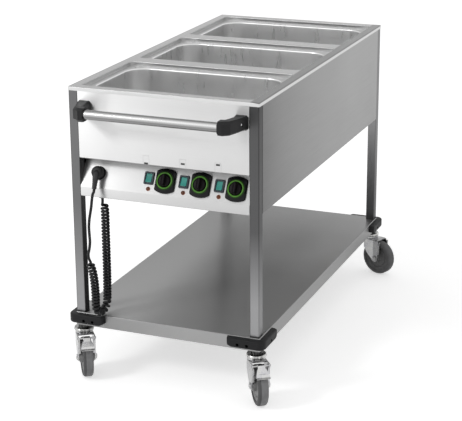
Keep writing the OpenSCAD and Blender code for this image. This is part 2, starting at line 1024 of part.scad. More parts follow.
// One wheel: a moulded disc with a rim, a groove on each face and a bored hub.
module wheel(sx, sy) {
    rim_r = wheel_r - tyre_t;
    color("gray")
        about_axle(sx, sy)
            difference() {
                union() {
                    translate([0, -hub_l / 2])
                        square([hub_boss_d / 2, hub_l]);
                    translate([0, -tread_w / 2 + rim_step])
                        square([rim_r, tread_w - 2 * rim_step]);
                }
                translate([-over, -hub_l / 2 - over])
                    square([axle_d / 2 + run_gap + over, hub_l + 2 * over]);
                for (face = [-1, 1])
                    translate([rim_r - groove_in, face * (tread_w / 2 - rim_step)])
                        circle(groove_r);
            }
}

module wheel_front_left() {
    wheel(-1, -1);
}

module wheel_front_right() {
    wheel(1, -1);
}

module wheel_rear_left() {
    wheel(-1, 1);
}

module wheel_rear_right() {
    wheel(1, 1);
}

// One tyre: a solid ring with a rounded tread, moulded onto the wheel's rim.
module tyre(sx, sy) {
    rim_r = wheel_r - tyre_t;
    color([0.36, 0.36, 0.37])
        about_axle(sx, sy)
            difference() {
                union() {
                    for (face = [-1, 1])
                        translate([wheel_r - tread_round, face * (tread_w / 2 - tread_round)])
                            circle(tread_round);
                    translate([rim_r, -tread_w / 2])
                        square([tyre_t - tread_round, tread_w]);
                    translate([rim_r, -tread_w / 2 + tread_round])
                        square([tyre_t, tread_w - 2 * tread_round]);
                }
                translate([-over, -tread_w])
                    square([rim_r + over, 2 * tread_w]);
            }
}

module tyre_front_left() {
    tyre(-1, -1);
}

module tyre_front_right() {
    tyre(1, -1);
}

module tyre_rear_left() {
    tyre(-1, 1);
}

module tyre_rear_right() {
    tyre(1, 1);
}

// One brake pedal: a hinged tongue, a sloping plate and a folded foot edge.
module brake_pedal(sx) {
    top = [pedal_pin_x, pedal_pin_z + pedal_t / 2];
    knee = [pedal_pin_x + pedal_knee, pedal_pin_z];
    toe = [pedal_pin_x + pedal_run, pedal_pin_z - pedal_fall];
    lip = toe + [pedal_lip_run, -pedal_lip_fall];
    middle = (knee + toe) / 2;
    tongue = [top, knee, middle + over * unit(toe - knee)];
    color("lightsteelblue")
        at_castor(sx, -1)
            difference() {
                union() {
                    translate([pedal_pin_x, pedal_hub_w / 2, pedal_pin_z])
                        rotate([90, 0, 0])
                            cylinder(d = pedal_hub_d, h = pedal_hub_w);
                    translate([0, pedal_hub_w / 2, 0])
                        rotate([90, 0, 0])
                            linear_extrude(pedal_hub_w)
                                bent_sheet(tongue, pedal_t - 2 * face_gap);
                    translate([0, pedal_w / 2, 0])
                        rotate([90, 0, 0])
                            linear_extrude(pedal_w)
                                bent_sheet([middle, toe, lip, lip + [pedal_lip, 0]], pedal_t);
                }
                translate([pedal_pin_x, pedal_hub_w, pedal_pin_z])
                    rotate([90, 0, 0])
                        cylinder(d = pedal_pin_d + 2 * run_gap, h = 2 * pedal_hub_w);
            }
}

module brake_pedal_left() {
    brake_pedal(-1);
}

module brake_pedal_right() {
    brake_pedal(1);
}

// Outline of a bezel: flat sides, bowed top and bottom and rounded corners.
module bezel_outline() {
    intersection() {
        rounded_rect(bezel_w, bezel_h, bezel_corner_r);
        circle(d = bezel_h * bezel_bow);
    }
}

// Bezels: three moulded plates with a low round boss.
module dial_bezels() {
    color([0.09, 0.09, 0.1])
        in_place()
            for (x = dial_xs)
                on_slope(x, dial_v)
                    difference() {
                        union() {
                            linear_extrude(bezel_t)
                                bezel_outline();
                            cylinder(d = boss_d, h = ring_z);
                        }
                        translate([0, 0, bezel_t])
                            cylinder(d = knob_d + 2 * face_gap, h = ring_z);
                        translate([0, 0, -over])
                            cylinder(d = bush_d, h = bezel_t + 2 * over);
                    }
}

// Rings: three coloured trim rings on the bezels' bosses.
module dial_rings() {
    color([0.35, 0.65, 0.2])
        in_place()
            for (x = dial_xs)
                on_slope(x, dial_v)
                    translate([0, 0, ring_z])
                        rotate_extrude()
                            translate([(ring_in_d + ring_out_d) / 4, 0])
                                intersection() {
                                    scale([(ring_out_d - ring_in_d) / 4, ring_t])
                                        circle(1);
                                    translate([-ring_out_d, 0])
                                        square([2 * ring_out_d, ring_t]);
                                }
}

// One knob: a turned skirt, a raised grip bar and the spindle.
module knob(i) {
    grip_w = knob_d / 4;
    base_z = bezel_t + face_gap;
    color([0.07, 0.07, 0.08])
        in_place()
            on_slope(dial_xs[i], dial_v) {
                translate([0, 0, base_z])
                    cylinder(d = knob_d, h = knob_h / 2);
                translate([0, 0, base_z])
                    linear_extrude(knob_h)
                        intersection() {
                            circle(d = knob_d);
                            square([grip_w, knob_d], center = true);
                        }
                translate([0, 0, base_z - spindle_l])
                    cylinder(d = spindle_d, h = spindle_l + knob_h / 4);
            }
}

module knob_front() {
    knob(0);
}

module knob_middle() {
    knob(1);
}

module knob_rear() {
    knob(2);
}

// Thermostats: three regulator bodies behind the slope, with the bushes of the spindles.
module thermostats() {
    color("burlywood")
        in_place()
            for (x = dial_xs)
                on_slope(x, dial_v)
                    difference() {
                        union() {
                            translate([0, 0, -sheet - stat_t / 2])
                                cube([stat_w, stat_w, stat_t], center = true);
                            translate([0, 0, -sheet])
                                cylinder(d = bush_d, h = sheet + bezel_t - face_gap);
                        }
                        translate([0, 0, -spindle_l])
                            cylinder(d = spindle_d + 2 * run_gap, h = 2 * spindle_l);
                    }
}

// Switch frames: three open frames with their bodies behind the slope.
module switch_frames() {
    open_w = rocker_w + 2 * rocker_gap;
    open_h = rocker_h + 4 * rocker_gap;
    color([0.2, 0.23, 0.25])
        in_place()
            for (x = dial_xs)
                on_slope(x + switch_x, switch_v)
                    difference() {
                        union() {
                            linear_extrude(switch_t)
                                rounded_rect(switch_w, switch_h, switch_corner_r);
                            translate([0, 0, (sheet - switch_body_t) / 2 - sheet / 2])
                                cube([rocker_w + 2 * switch_wall + 2 * rocker_pin_l,
                                      rocker_h + 2 * switch_wall, switch_body_t], center = true);
                        }
                        translate([0, 0, switch_t / 2])
                            cube([open_w, open_h, 4 * switch_t], center = true);
                        rotate([0, 90, 0])
                            cylinder(d = rocker_pin_d + 2 * run_gap,
                                     h = rocker_w + 2 * rocker_pin_l + 2 * face_gap, center = true);
                    }
}

// One rocker: a dished key that tips about a pin across its frame.
module rocker(i) {
    half = rocker_h / 2;
    foot = half * rocker_foot_share;
    color([0.2, 0.55, 0.52])
        in_place()
            on_slope(dial_xs[i] + switch_x, switch_v)
                rotate([-rocker_travel / 2, 0, 0]) {
                    translate([-rocker_w / 2, 0, 0])
                        rotate([90, 0, 90])
                            linear_extrude(rocker_w)
                                polygon([
                                    [-foot, -switch_t], [-half, -rocker_shoulder], [-half, switch_t],
                                    [0, switch_t * rocker_dish_share],
                                    [half, switch_t], [half, -rocker_shoulder], [foot, -switch_t]
                                ]);
                    rotate([0, 90, 0])
                        cylinder(d = rocker_pin_d, h = rocker_w + 2 * rocker_pin_l, center = true);
                }
}

module rocker_front() {
    rocker(0);
}

module rocker_middle() {
    rocker(1);
}

module rocker_rear() {
    rocker(2);
}

// Pilot lamps: three domed lenses with their bodies behind the slope.
module pilot_lamps() {
    color([0.75, 0.3, 0.12])
        in_place()
            for (x = dial_xs)
                on_slope(x + switch_x + rocker_pin_l, lamp_v) {
                    intersection() {
                        cylinder(d = lamp_d, h = lamp_dome);
                        translate([0, 0, lamp_dome - lamp_d])
                            sphere(r = lamp_d);
                    }
                    translate([0, 0, -lamp_body_l])
                        cylinder(d = lamp_body_d, h = lamp_body_l);
                }
}

// Heating mats: three flat mats bonded under the wells.
module heating_mats() {
    color("orange")
        in_place()
            for (y = well_ys)
                translate([-heater_w / 2 - drain_d, y - heater_l / 2, well_under_z - heater_t])
                    cube([heater_w, heater_l, heater_t]);
}

// Drain valves: a pipe from each well's floor and a ball valve below the cover.
module drain_valves() {
    color("goldenrod")
        in_place()
            for (y = well_ys)
                translate([drain_x, y, 0])
                    difference() {
                        union() {
                            translate([0, 0, valve_z])
                                cylinder(d = drain_d, h = well_under_z - valve_z);
                            translate([0, 0, valve_z - valve_l / 2])
                                cylinder(d = valve_d, h = valve_l);
                        }
                        translate([0, 0, valve_z - valve_l])
                            cylinder(d = drain_bore, h = well_under_z - valve_z + valve_l + over);
                        translate([valve_d / 2 - valve_stem_l + over, 0, valve_z])
                            rotate([0, 90, 0])
                                cylinder(d = valve_stem_d + 2 * run_gap, h = valve_stem_l);
                    }
}

// One drain lever: a stem in the valve's side and a flat lever that lies along the trolley.
module drain_lever(i) {
    color("firebrick")
        in_place()
            translate([drain_x, well_ys[i], valve_z])
                rotate([0, 90, 0]) {
                    translate([0, 0, valve_d / 2 - valve_stem_l + over + face_gap])
                        cylinder(d = valve_stem_d, h = valve_stem_l + lever_t);
                    translate([0, 0, valve_d / 2 + over])
                        linear_extrude(lever_t)
                            union() {
                                circle(d = lever_w);
                                translate([-lever_w / 2, 0])
                                    square([lever_w, lever_l - lever_w / 2]);
                                translate([0, lever_l - lever_w / 2])
                                    circle(d = lever_w);
                            }
                }
}

module drain_lever_front() {
    drain_lever(0);
}

module drain_lever_middle() {
    drain_lever(1);
}

module drain_lever_rear() {
    drain_lever(2);
}

// Parking socket: a blind holder for the plug, let into the slope.
module parking_socket() {
    color([0.08, 0.08, 0.09])
        in_place()
            on_slope(socket_x, socket_v)
                difference() {
                    union() {
                        cylinder(d = socket_flange_d, h = socket_flange_t);
                        translate([0, 0, -socket_body_l])
                            cylinder(d = socket_body_d, h = socket_body_l);
                    }
                    for (s = [-1, 1])
                        translate([s * plug_pin_gap / 2, 0, socket_flange_t - plug_pin_l - over])
                            cylinder(d = plug_pin_d + 2 * run_gap, h = plug_pin_l + 2 * over);
                }
}

// Plug: a round angled plug with a side outlet and a ribbed strain relief.
module plug() {
    relief_y = -plug_arm_l - relief_l;
    color([0.08, 0.08, 0.09])
        in_place()
            on_slope(socket_x, socket_v) {
                translate([0, 0, socket_flange_t])
                    rotate_extrude()
                        union() {
                            square([plug_d / 2 - plug_dome, plug_t]);
                            square([plug_d / 2, plug_t - plug_dome]);
                            translate([plug_d / 2 - plug_dome, plug_t - plug_dome])
                                circle(plug_dome);
                        }
                for (s = [-1, 1])
                    translate([s * plug_pin_gap / 2, 0, socket_flange_t - plug_pin_l])
                        cylinder(d = plug_pin_d, h = plug_pin_l + over);
                rotate([0, 0, plug_turn]) {
                    translate([0, -plug_arm_l, plug_arm_z])
                        rotate([-90, 0, 0])
                            cylinder(d = plug_arm_d, h = plug_arm_l);
                    translate([0, 0, plug_arm_z])
                        sphere(d = plug_arm_d);
                    translate([0, relief_y, plug_arm_z])
                        rotate([-90, 0, 0])
                            cylinder(d1 = relief_end_d, d2 = relief_d, h = relief_l + over);
                    for (i = [0 : relief_ribs - 1])
                        translate([0, relief_y + i * relief_l / relief_ribs, plug_arm_z])
                            rotate([-90, 0, 0])
                                cylinder(d = relief_rib_d, h = relief_rib_t);
                }
            }
}

// Cord gland: a nut and thread through the bottom cover.
module cord_gland() {
    color([0.1, 0.1, 0.11])
        in_place()
            translate([gland_x, gland_y, cover_z])
                difference() {
                    union() {
                        translate([0, 0, -gland_nut_h])
                            cylinder(d = gland_nut_d, h = gland_nut_h, $fn = 6);
                        cylinder(d = gland_thread_d, h = gland_thread_l);
                    }
                    translate([0, 0, -gland_nut_h - over])
                        cylinder(d = cord_d, h = gland_nut_h + gland_thread_l + 2 * over);
                }
}

// Straight stretch of cord from the gland's mouth to the curls.
module cord_top() {
    color([0.08, 0.08, 0.09])
        in_place()
            translate([gland_x, gland_y, cord_start_z])
                cylinder(d = cord_d, h = cord_top_l, $fn = lead_sides);
}

// Point on a smooth curve through b and c, a share t of the way between them.
function curve_point(a, b, c, d, t) =
    b + (c - a) / 2 * t + (a - b * 5 / 2 + 2 * c - d / 2) * t * t + (3 * (b - c) + d - a) / 2 * t * t * t;

// A route filled in with evenly spaced steps between its points.
function smooth_route(points, steps) =
    let (n = len(points))
    [
        for (i = [0 : n - 2])
            for (s = [0 : steps - 1])
                curve_point(
                    i == 0 ? 2 * points[0] - points[1] : points[i - 1],
                    points[i],
                    points[i + 1],
                    i == n - 2 ? 2 * points[n - 1] - points[n - 2] : points[i + 2],
                    s / steps
                ),
        points[n - 1]
    ];

function unit(v) = v / norm(v);

// Directions along a route, from each point's neighbours.
function directions(points) =
    let (n = len(points))
    [for (i = [0 : n - 1]) unit(points[min(i + 1, n - 1)] - points[max(i - 1, 0)])];

// Running totals of a list, starting from zero.
function totals(list) = [
    for (i = 0, sum = 0; i <= len(list); sum = sum + (i < len(list) ? list[i] : 0), i = i + 1)
        sum
];

// Side vectors carried along a route without twist, starting from a given one.
function carried_sides(along, first) =
    [for (i = 0, side = unit(first - (first * along[0]) * along[0]);
          i < len(along);
          i = i + 1,
          side = i < len(along) ? unit(side - (side * along[i]) * along[i]) : side)
        side];

// Triangles of a closed tube of rings with the given number of sides.
function tube_faces(rings, sides) = [
    for (i = [1 : sides - 2]) [0, i, i + 1],
    for (r = [0 : rings - 2])
        for (s = [0 : sides - 1])
            let (a = r * sides + s, b = r * sides + (s + 1) % sides)
            each [[a, a + sides, b], [b, a + sides, b + sides]],
    for (i = [1 : sides - 2]) [(rings - 1) * sides, (rings - 1) * sides + i + 1, (rings - 1) * sides + i]
];

// A round tube along points, with one ring at each.
module tube(points, d, sides, first) {
    along = directions(points);
    across = carried_sides(along, first);
    rings = [
        for (i = [0 : len(points) - 1])
            for (s = [0 : sides - 1])
                let (turn = 360 * s / sides)
                points[i] + d / 2 * (cos(turn) * across[i] + sin(turn) * cross(along[i], across[i]))
    ];
    polyhedron(rings, tube_faces(len(points), sides), convexity = 10);
}

// The curls' centre line, its lengths, and the share of full curl at each length.
curl_line = smooth_route(curls_route, route_steps);
curl_along = directions(curl_line);
curl_across = carried_sides(curl_along, [1, 0, 0]);
curl_steps = [for (i = [0 : len(curl_line) - 2]) norm(curl_line[i + 1] - curl_line[i])];
curl_lengths = totals(curl_steps);
curl_total = curl_lengths[len(curl_lengths) - 1];

function curl_share(s) =
    let (t = max(0, min(1, min(s - cord_d, curl_total - cord_d - s) / curl_ramp)))
    t * t * (3 - 2 * t);

// Bend of the centre line at one of its points.
function curl_bend(i) =
    let (a = max(0, i - bend_span), b = min(len(curl_line) - 1, i + bend_span))
    norm(curl_along[b] - curl_along[a]) / (curl_lengths[b] - curl_lengths[a]);

// Pitch at each step: wider higher up, where more weight hangs below, wider where the curls
// run out, and wider in the half round, so that they clear each other inside it.
curl_pitches = [
    for (i = [0 : len(curl_steps) - 1])
        let (
            share = curl_share(curl_lengths[i]),
            sag = curl_sag * (curl_line[i].z - loop_low_z) / (cord_start_z - loop_low_z)
        )
        max(
            curl_pitch * (1 + sag + curl_stretch * (1 - share)),
            (cord_d + curl_gap) / (1 - curl_r * curl_bend(i))
        )
];
curl_turns = totals([
    for (i = [0 : len(curl_steps) - 1])
        let (s = curl_lengths[i])
        s < cord_d || s > curl_total - cord_d ? 0 : curl_steps[i] / curl_pitches[i]
]);
curl_count = curl_turns[len(curl_turns) - 1];
turn_to_length = [for (i = [0 : len(curl_turns) - 1]) [curl_turns[i] + i * tiny, curl_lengths[i]]];

function along_curl(table, s) =
    [
        for (k = [0 : 2])
            lookup(s, [for (i = [0 : len(curl_lengths) - 1]) [curl_lengths[i], table[i][k]]])
    ];

curl_ring_count = floor(curl_count * curl_rings);
curl_centres = [
    for (i = [0 : curl_ring_count])
        let (
            turn = curl_count * i / curl_ring_count,
            s = lookup(turn, turn_to_length),
            axis = unit(along_curl(curl_along, s)),
            side = unit(along_curl(curl_across, s)),
            out = cos(360 * turn) * side + sin(360 * turn) * cross(axis, side)
        )
        [along_curl(curl_line, s) + curl_r * curl_share(s) * out, out]
];
curl_points = concat(
    [for (c = curl_centres) c[0]],
    [curl_line[len(curl_line) - 1]]
);
curl_outs = concat(
    [for (c = curl_centres) c[1]],
    [curl_centres[curl_ring_count][1]]
);
curl_clear = min([
    for (i = [0 : len(curl_points) - 1])
        for (j = [i + curl_rings / 2 + 1 : 1 : len(curl_points) - 1])
            norm(curl_points[i] - curl_points[j])
]) - cord_d;
echo(curls = curl_count, least_gap = curl_clear);

// Curly stretch of the cord: one unbroken tube wound along the centre line.
module cord_curls() {
    n = len(curl_points);
    axis = [
        for (i = [0 : n - 1])
            i == 0 ? [0, 0, -1]
            : i == n - 1 ? curl_along[len(curl_along) - 1]
            : unit(curl_points[i + 1] - curl_points[i - 1])
    ];
    rings = [
        for (i = [0 : n - 1])
            let (side = unit(curl_outs[i] - (curl_outs[i] * axis[i]) * axis[i]))
            for (s = [0 : curl_sides - 1])
                let (turn = 360 * s / curl_sides)
                curl_points[i] + cord_d / 2 * (cos(turn) * side + sin(turn) * cross(axis[i], side))
    ];
    color([0.08, 0.08, 0.09])
        in_place()
            polyhedron(rings, tube_faces(n, curl_sides), convexity = 10);
}

// Lead from the curls up to the plug's strain relief.
module cord_lead() {
    start = curls_route[len(curls_route) - 1];
    start_way = curl_along[len(curl_along) - 1];
    route = smooth_route(concat(
        [start, start + lead_stub * start_way],
        lead_route,
        [plug_end + lead_stub * plug_way, plug_end]
    ), 2);
    color([0.08, 0.08, 0.09])
        in_place()
            tube(route, cord_d, lead_sides, [1, 0, 0]);
}

top_plate();
well_front();
well_middle();
well_rear();
post_front_left();
post_front_right();
post_rear_left();
post_rear_right();
front_panel();
rear_panel();
side_panel_left();
side_panel_right();
control_panel();
bottom_cover();
lower_shelf();
handle_tube();
handle_bracket_left();
handle_bracket_right();
handle_screws();
bumper_front_left();
bumper_front_right();
bumper_rear_left();
bumper_rear_right();
castor_heads();
fork_front_left();
fork_front_right();
fork_rear_left();
fork_rear_right();
wheel_front_left();
wheel_front_right();
wheel_rear_left();
wheel_rear_right();
tyre_front_left();
tyre_front_right();
tyre_rear_left();
tyre_rear_right();
brake_pedal_left();
brake_pedal_right();
dial_bezels();
dial_rings();
knob_front();
knob_middle();
knob_rear();
switch_frames();
rocker_front();
rocker_middle();
rocker_rear();
pilot_lamps();
thermostats();
heating_mats();
drain_valves();
drain_lever_front();
drain_lever_middle();
drain_lever_rear();
parking_socket();
cord_gland();
cord_top();
cord_curls();
cord_lead();
plug();
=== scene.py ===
"""Heated serving trolley: the finished look of its sheet body, wells, controls, lead and castors."""

import math

import bmesh
import bpy
import numpy as np
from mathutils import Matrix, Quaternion, Vector


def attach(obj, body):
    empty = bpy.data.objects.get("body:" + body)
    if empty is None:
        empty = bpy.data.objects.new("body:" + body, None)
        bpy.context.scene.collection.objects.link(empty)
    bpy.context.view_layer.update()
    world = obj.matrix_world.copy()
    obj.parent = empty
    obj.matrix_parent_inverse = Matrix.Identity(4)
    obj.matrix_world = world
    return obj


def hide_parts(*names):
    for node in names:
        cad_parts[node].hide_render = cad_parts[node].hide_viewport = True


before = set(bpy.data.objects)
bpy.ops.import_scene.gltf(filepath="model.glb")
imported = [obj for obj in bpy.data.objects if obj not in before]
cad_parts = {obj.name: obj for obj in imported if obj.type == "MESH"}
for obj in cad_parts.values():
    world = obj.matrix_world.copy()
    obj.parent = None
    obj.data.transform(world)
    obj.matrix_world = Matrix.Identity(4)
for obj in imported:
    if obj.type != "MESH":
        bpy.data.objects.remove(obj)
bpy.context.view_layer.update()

# The camera stands in front of the trolley's right corner and looks down on the wells, as in
# the photograph. It has a long lens and is turned a little off the horizon.
camera_place = (1.7354, -4.3388, 1.9301)
camera_yaw, camera_pitch, camera_roll = 22.714, 17.298, -0.614
camera = bpy.data.objects.new("camera", bpy.data.cameras.new("camera"))
camera.data.lens = 114.89
camera.data.shift_x, camera.data.shift_y = 0.0407, -0.0513
camera.location = camera_place
camera.rotation_mode = "QUATERNION"
camera.rotation_quaternion = (
    Quaternion((0, 0, 1), math.radians(camera_yaw))
    @ Quaternion((1, 0, 0), math.radians(90 - camera_pitch))
    @ Quaternion((0, 0, 1), math.radians(camera_roll))
)
bpy.context.scene.collection.objects.link(camera)
bpy.context.scene.camera = camera

# Four posts of square stainless tube, brushed along their length, carry the whole trolley. They
# are welded to the top plate and the shelf, and each stands on a castor.
half_width, half_length = 0.303, 0.605
four_corners = {
    "front_left": (-1, -1, 34), "front_right": (1, -1, 34), "rear_left": (-1, 1, -69),
    "rear_right": (1, 1, 69),
}


def node(tree, kind, **values):
    """Adds a shader node of a kind, with the values of its inputs by their names."""
    made = tree.nodes.new("ShaderNode" + kind)
    for key, value in values.items():
        made.inputs[key.replace("_", " ")].default_value = value
    return made


def finish_nodes(name, base, rough, metal=0.0, **sockets):
    """A new material with its shader, its node tree and an Object coordinate to pattern it by."""
    material = bpy.data.materials.new(name)
    material.use_nodes = True
    tree = material.node_tree
    shader = tree.nodes["Principled BSDF"]
    shader.inputs["Base Color"].default_value = (*base, 1)
    shader.inputs["Roughness"].default_value = rough
    shader.inputs["Metallic"].default_value = metal
    for key, value in sockets.items():
        shader.inputs[key.replace("_", " ")].default_value = value
    return material, tree, shader, node(tree, "TexCoord").outputs["Object"]


def grain(tree, place, scale, detail=3.0, rough=0.55):
    """Noise stretched by the three scales, so that a small scale draws it out along that axis."""
    turn = node(tree, "Mapping", Scale=scale)
    noise = node(tree, "TexNoise", Scale=1.0, Detail=detail, Roughness=rough)
    tree.links.new(place, turn.inputs["Vector"])
    tree.links.new(turn.outputs["Vector"], noise.inputs["Vector"])
    return noise.outputs["Fac"]


def spread(tree, value, low, high, into):
    """Maps a noise's middle range onto low to high and feeds a socket."""
    ramp = node(tree, "MapRange", From_Min=0.3, From_Max=0.7, To_Min=low, To_Max=high)
    tree.links.new(value, ramp.inputs["Value"])
    tree.links.new(ramp.outputs["Result"], into)


def shade_between(tree, value, dark, light, into):
    """Mixes two colours by a noise and feeds a colour socket."""
    mix = node(tree, "Mix")
    mix.data_type = "RGBA"
    mix.inputs["A"].default_value, mix.inputs["B"].default_value = (*dark, 1), (*light, 1)
    spread(tree, value, 0.0, 1.0, mix.inputs["Factor"])
    tree.links.new(mix.outputs["Result"], into)


def raised(tree, value, strength, distance, into):
    """Bump from a noise."""
    bump = node(tree, "Bump", Strength=strength, Distance=distance)
    tree.links.new(value, bump.inputs["Height"])
    tree.links.new(bump.outputs["Normal"], into)


def brushed(name, base, scratches, across, rough=0.34, contrast=0.07, **sockets):
    """Belt-brushed steel: lines along the axis of small scale, mirror images drawn out across them."""
    material, tree, shader, place = finish_nodes(
        name, base, rough, metal=1.0, **{"Anisotropic": 0.95, **sockets}
    )
    tangent = node(tree, "CombineXYZ", **dict(zip("XYZ", across)))
    tree.links.new(tangent.outputs["Vector"], shader.inputs["Tangent"])
    lines = grain(tree, place, scratches, 6, 0.65)
    broad = grain(tree, place, (3.1, 2.3, 2.7), 3)
    mixed = node(tree, "Mix", Factor=0.35)
    tree.links.new(lines, mixed.inputs["A"])
    tree.links.new(broad, mixed.inputs["B"])
    both = mixed.outputs["Result"]
    low, high = [(1 - contrast) * c for c in base], [min(1, (1 + contrast) * c) for c in base]
    shade_between(tree, both, low, high, shader.inputs["Base Color"])
    spread(tree, both, rough - 0.07, rough + 0.09, shader.inputs["Roughness"])
    raised(tree, lines, 0.02, 0.0002, shader.inputs["Normal"])
    return material


def banded(material, way, low, high, greys):
    """Multiplies a colour by greys at their shares of low to high, measured as position dot way."""
    tree = material.node_tree
    base = tree.nodes["Principled BSDF"].inputs["Base Color"]
    place = next(found for found in tree.nodes if found.type == "TEX_COORD")
    along_way, run = node(tree, "VectorMath"), node(tree, "MapRange", From_Min=low, From_Max=high)
    ramp, mix = node(tree, "ValToRGB"), node(tree, "Mix")
    along_way.operation, along_way.inputs[1].default_value = "DOT_PRODUCT", way
    while len(ramp.color_ramp.elements) < len(greys):
        ramp.color_ramp.elements.new(0.5)
    for stop, (share, grey) in zip(ramp.color_ramp.elements, greys):
        stop.position, stop.color = share, (grey, grey, grey, 1)
    mix.data_type, mix.blend_type = "RGBA", "MULTIPLY"
    mix.inputs["Factor"].default_value = 1.0
    tree.links.new(place.outputs["Object"], along_way.inputs[0])
    tree.links.new(along_way.outputs["Value"], run.inputs["Value"])
    tree.links.new(run.outputs["Result"], ramp.inputs["Fac"])
    tree.links.new(base.links[0].from_socket, mix.inputs["A"])
    tree.links.new(ramp.outputs["Color"], mix.inputs["B"])
    tree.links.new(mix.outputs["Result"], base)


def finish_node(name, material):
    """Gives a CAD node its finish."""
    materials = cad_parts[name].data.materials
    materials.clear()
    materials.append(material)


# Painted light on the posts: each corner's greys by height are painted shade and reflection down its front;
# along x the inner faces that look across the trolley are painted in shade at 0.2, and a painted dark line
# runs along each rounded corner.
post_painted_shade = {
    "front_left": [(0.0, 0.95), (0.14, 0.92), (0.30, 0.70), (0.50, 0.50), (1.0, 0.52)],
    "front_right": [(0.0, 1.0), (0.14, 1.0), (0.30, 0.66), (0.46, 0.32), (0.85, 0.30), (1.0, 0.22)],
    "rear_left": [(0.0, 0.50), (0.14, 0.50), (0.50, 0.85), (1.0, 0.9)],
    "rear_right": [(0.0, 0.40), (0.14, 0.46), (0.32, 0.66), (0.50, 0.82), (1.0, 0.9)],
}
for corner_name, greys in post_painted_shade.items():
    post_steel = brushed("post_steel_" + corner_name, (0.30, 0.30, 0.305), (700, 700, 4), (1, 1, 0), 0.30)
    banded(post_steel, (0, 0, 1), 0.20, 0.92, greys)
    banded(
        post_steel, (1, 0, 0), -0.3040, 0.3040,
        [
            (0.0, 0.95), (0.0028, 0.90), (0.0044, 0.50), (0.0062, 1.0), (0.0480, 1.0), (0.0502, 0.20),
            (0.0530, 0.20), (0.9470, 0.20), (0.9498, 0.20), (0.9520, 1.0), (0.9938, 1.0),
            (0.9956, 0.50), (0.9972, 0.90), (1.0, 0.95),
        ],
    )
    finish_node("post_" + corner_name, post_steel)

# The lower shelf is one folded tray of brushed stainless sheet, its skirt turned down and in.
# Sheet metal is brushed by a belt, so its fine lines run one way and draw out what it mirrors.
shelf_steel = brushed("shelf_steel", (0.58, 0.58, 0.58), (14, 900, 900), (0, 1, 0), 0.34, 0.03)
# Painted light on the shelf: its top is painted in shade against the lit skirt, its side edges a little
# darker, a painted reflection band runs across it, darker at the left and lighter at the right, and it is
# painted darker towards the rear.
banded(shelf_steel, (0, 0, 1), 0.200, 0.2405, [(0.0, 1.0), (0.82, 1.0), (0.85, 0.44), (1.0, 0.44)])
banded(
    shelf_steel, (1, 0, 0), -0.3055, 0.3055,
    [(0.0, 0.9), (0.003, 0.9), (0.006, 1.0), (0.994, 1.0), (0.997, 0.9), (1.0, 0.9)],
)
banded(
    shelf_steel, (0.928, 0.372, 0), -0.506, 0.506,
    [
        (0.0, 0.46), (0.23, 0.54), (0.37, 0.60), (0.47, 0.58), (0.60, 0.62), (0.71, 0.70), (0.82, 0.80),
        (1.0, 0.86),
    ],
)
banded(
    shelf_steel, (0, 1, 0), -0.57, 0.64,
    [(0.0, 1.0), (0.10, 1.0), (0.25, 0.92), (0.50, 0.80), (0.80, 0.72), (1.0, 0.72)],
)
finish_node("lower_shelf", shelf_steel)

# The body's panels are trays folded from brushed sheet. The front panel ends above the controls,
# whose own panel leans back below it, and the cover closes the body from under.
trolley_y = 0.03625
sheet_thick, rim_top, side_foot, front_foot, crease = 0.0015, 0.920, 0.582, 0.701, 0.612
lean = math.radians(27.5)
front_steel = brushed("front_steel", (0.78, 0.78, 0.78), (5, 700, 700), (0, 0, 1), 0.40, 0.03)
# Painted shadow along the panel's foot: a dark hem over its lowest 2 mm for the shaded gap above the slope,
# and painted shade making the lower panel a little darker than the top.
banded(
    front_steel, (0, 0, 1), front_foot, 0.917,
    [(0.0, 0.25), (0.008, 0.25), (0.014, 0.86), (0.25, 0.90), (0.80, 1.0), (1.0, 1.0)],
)
# The side and rear panels are the same sheet as the front panel with a darker base, as painted shade, and
# below they are painted darker towards the front and towards the foot.
side_steel = brushed("side_steel", (0.285, 0.285, 0.285), (600, 5, 600), (0, 0, 1), 0.34, 0.05)
slope_steel = brushed(
    "slope_steel", (0.68, 0.68, 0.68), (6, 500, 500), (0, math.sin(lean), math.cos(lean)), 0.42, 0.02
)
# Painted shade: the upright lip below the crease is darker than the leaning slope above it.
banded(slope_steel, (0, 0, 1), side_foot, 0.702, [(0.0, 0.86), (0.24, 0.92), (0.27, 1.0), (1.0, 1.0)])
banded(
    side_steel, (0, 1, 0), -0.57, 0.64,
    [
        (0.0, 0.42), (0.03, 0.46), (0.08, 0.56), (0.17, 0.70), (0.30, 0.84), (0.50, 0.93), (0.70, 1.0),
        (1.0, 0.96),
    ],
)
banded(side_steel, (0, 0, 1), side_foot, rim_top, [(0.0, 0.90), (1.0, 1.0)])
cover_steel = brushed("cover_steel", (0.34, 0.34, 0.34), (600, 5, 600), (1, 0, 0), 0.4)


def grid(points, round_rows=False, round_columns=False):
    """Quads over a grid of points, which may close up along its rows or columns."""
    rows, columns = points.shape[:2]
    i, j = np.meshgrid(
        np.arange(rows if round_rows else rows - 1),
        np.arange(columns if round_columns else columns - 1), indexing="ij",
    )
    k, l = (i + 1) % rows, (j + 1) % columns
    quads = np.stack([i * columns + j, k * columns + j, k * columns + l, i * columns + l], -1).reshape(-1, 4)
    return points.reshape(-1, 3), quads.tolist()


def lid(points):
    """One flat face over a closed outline."""
    return np.asarray(points, float), [list(range(len(points)))]


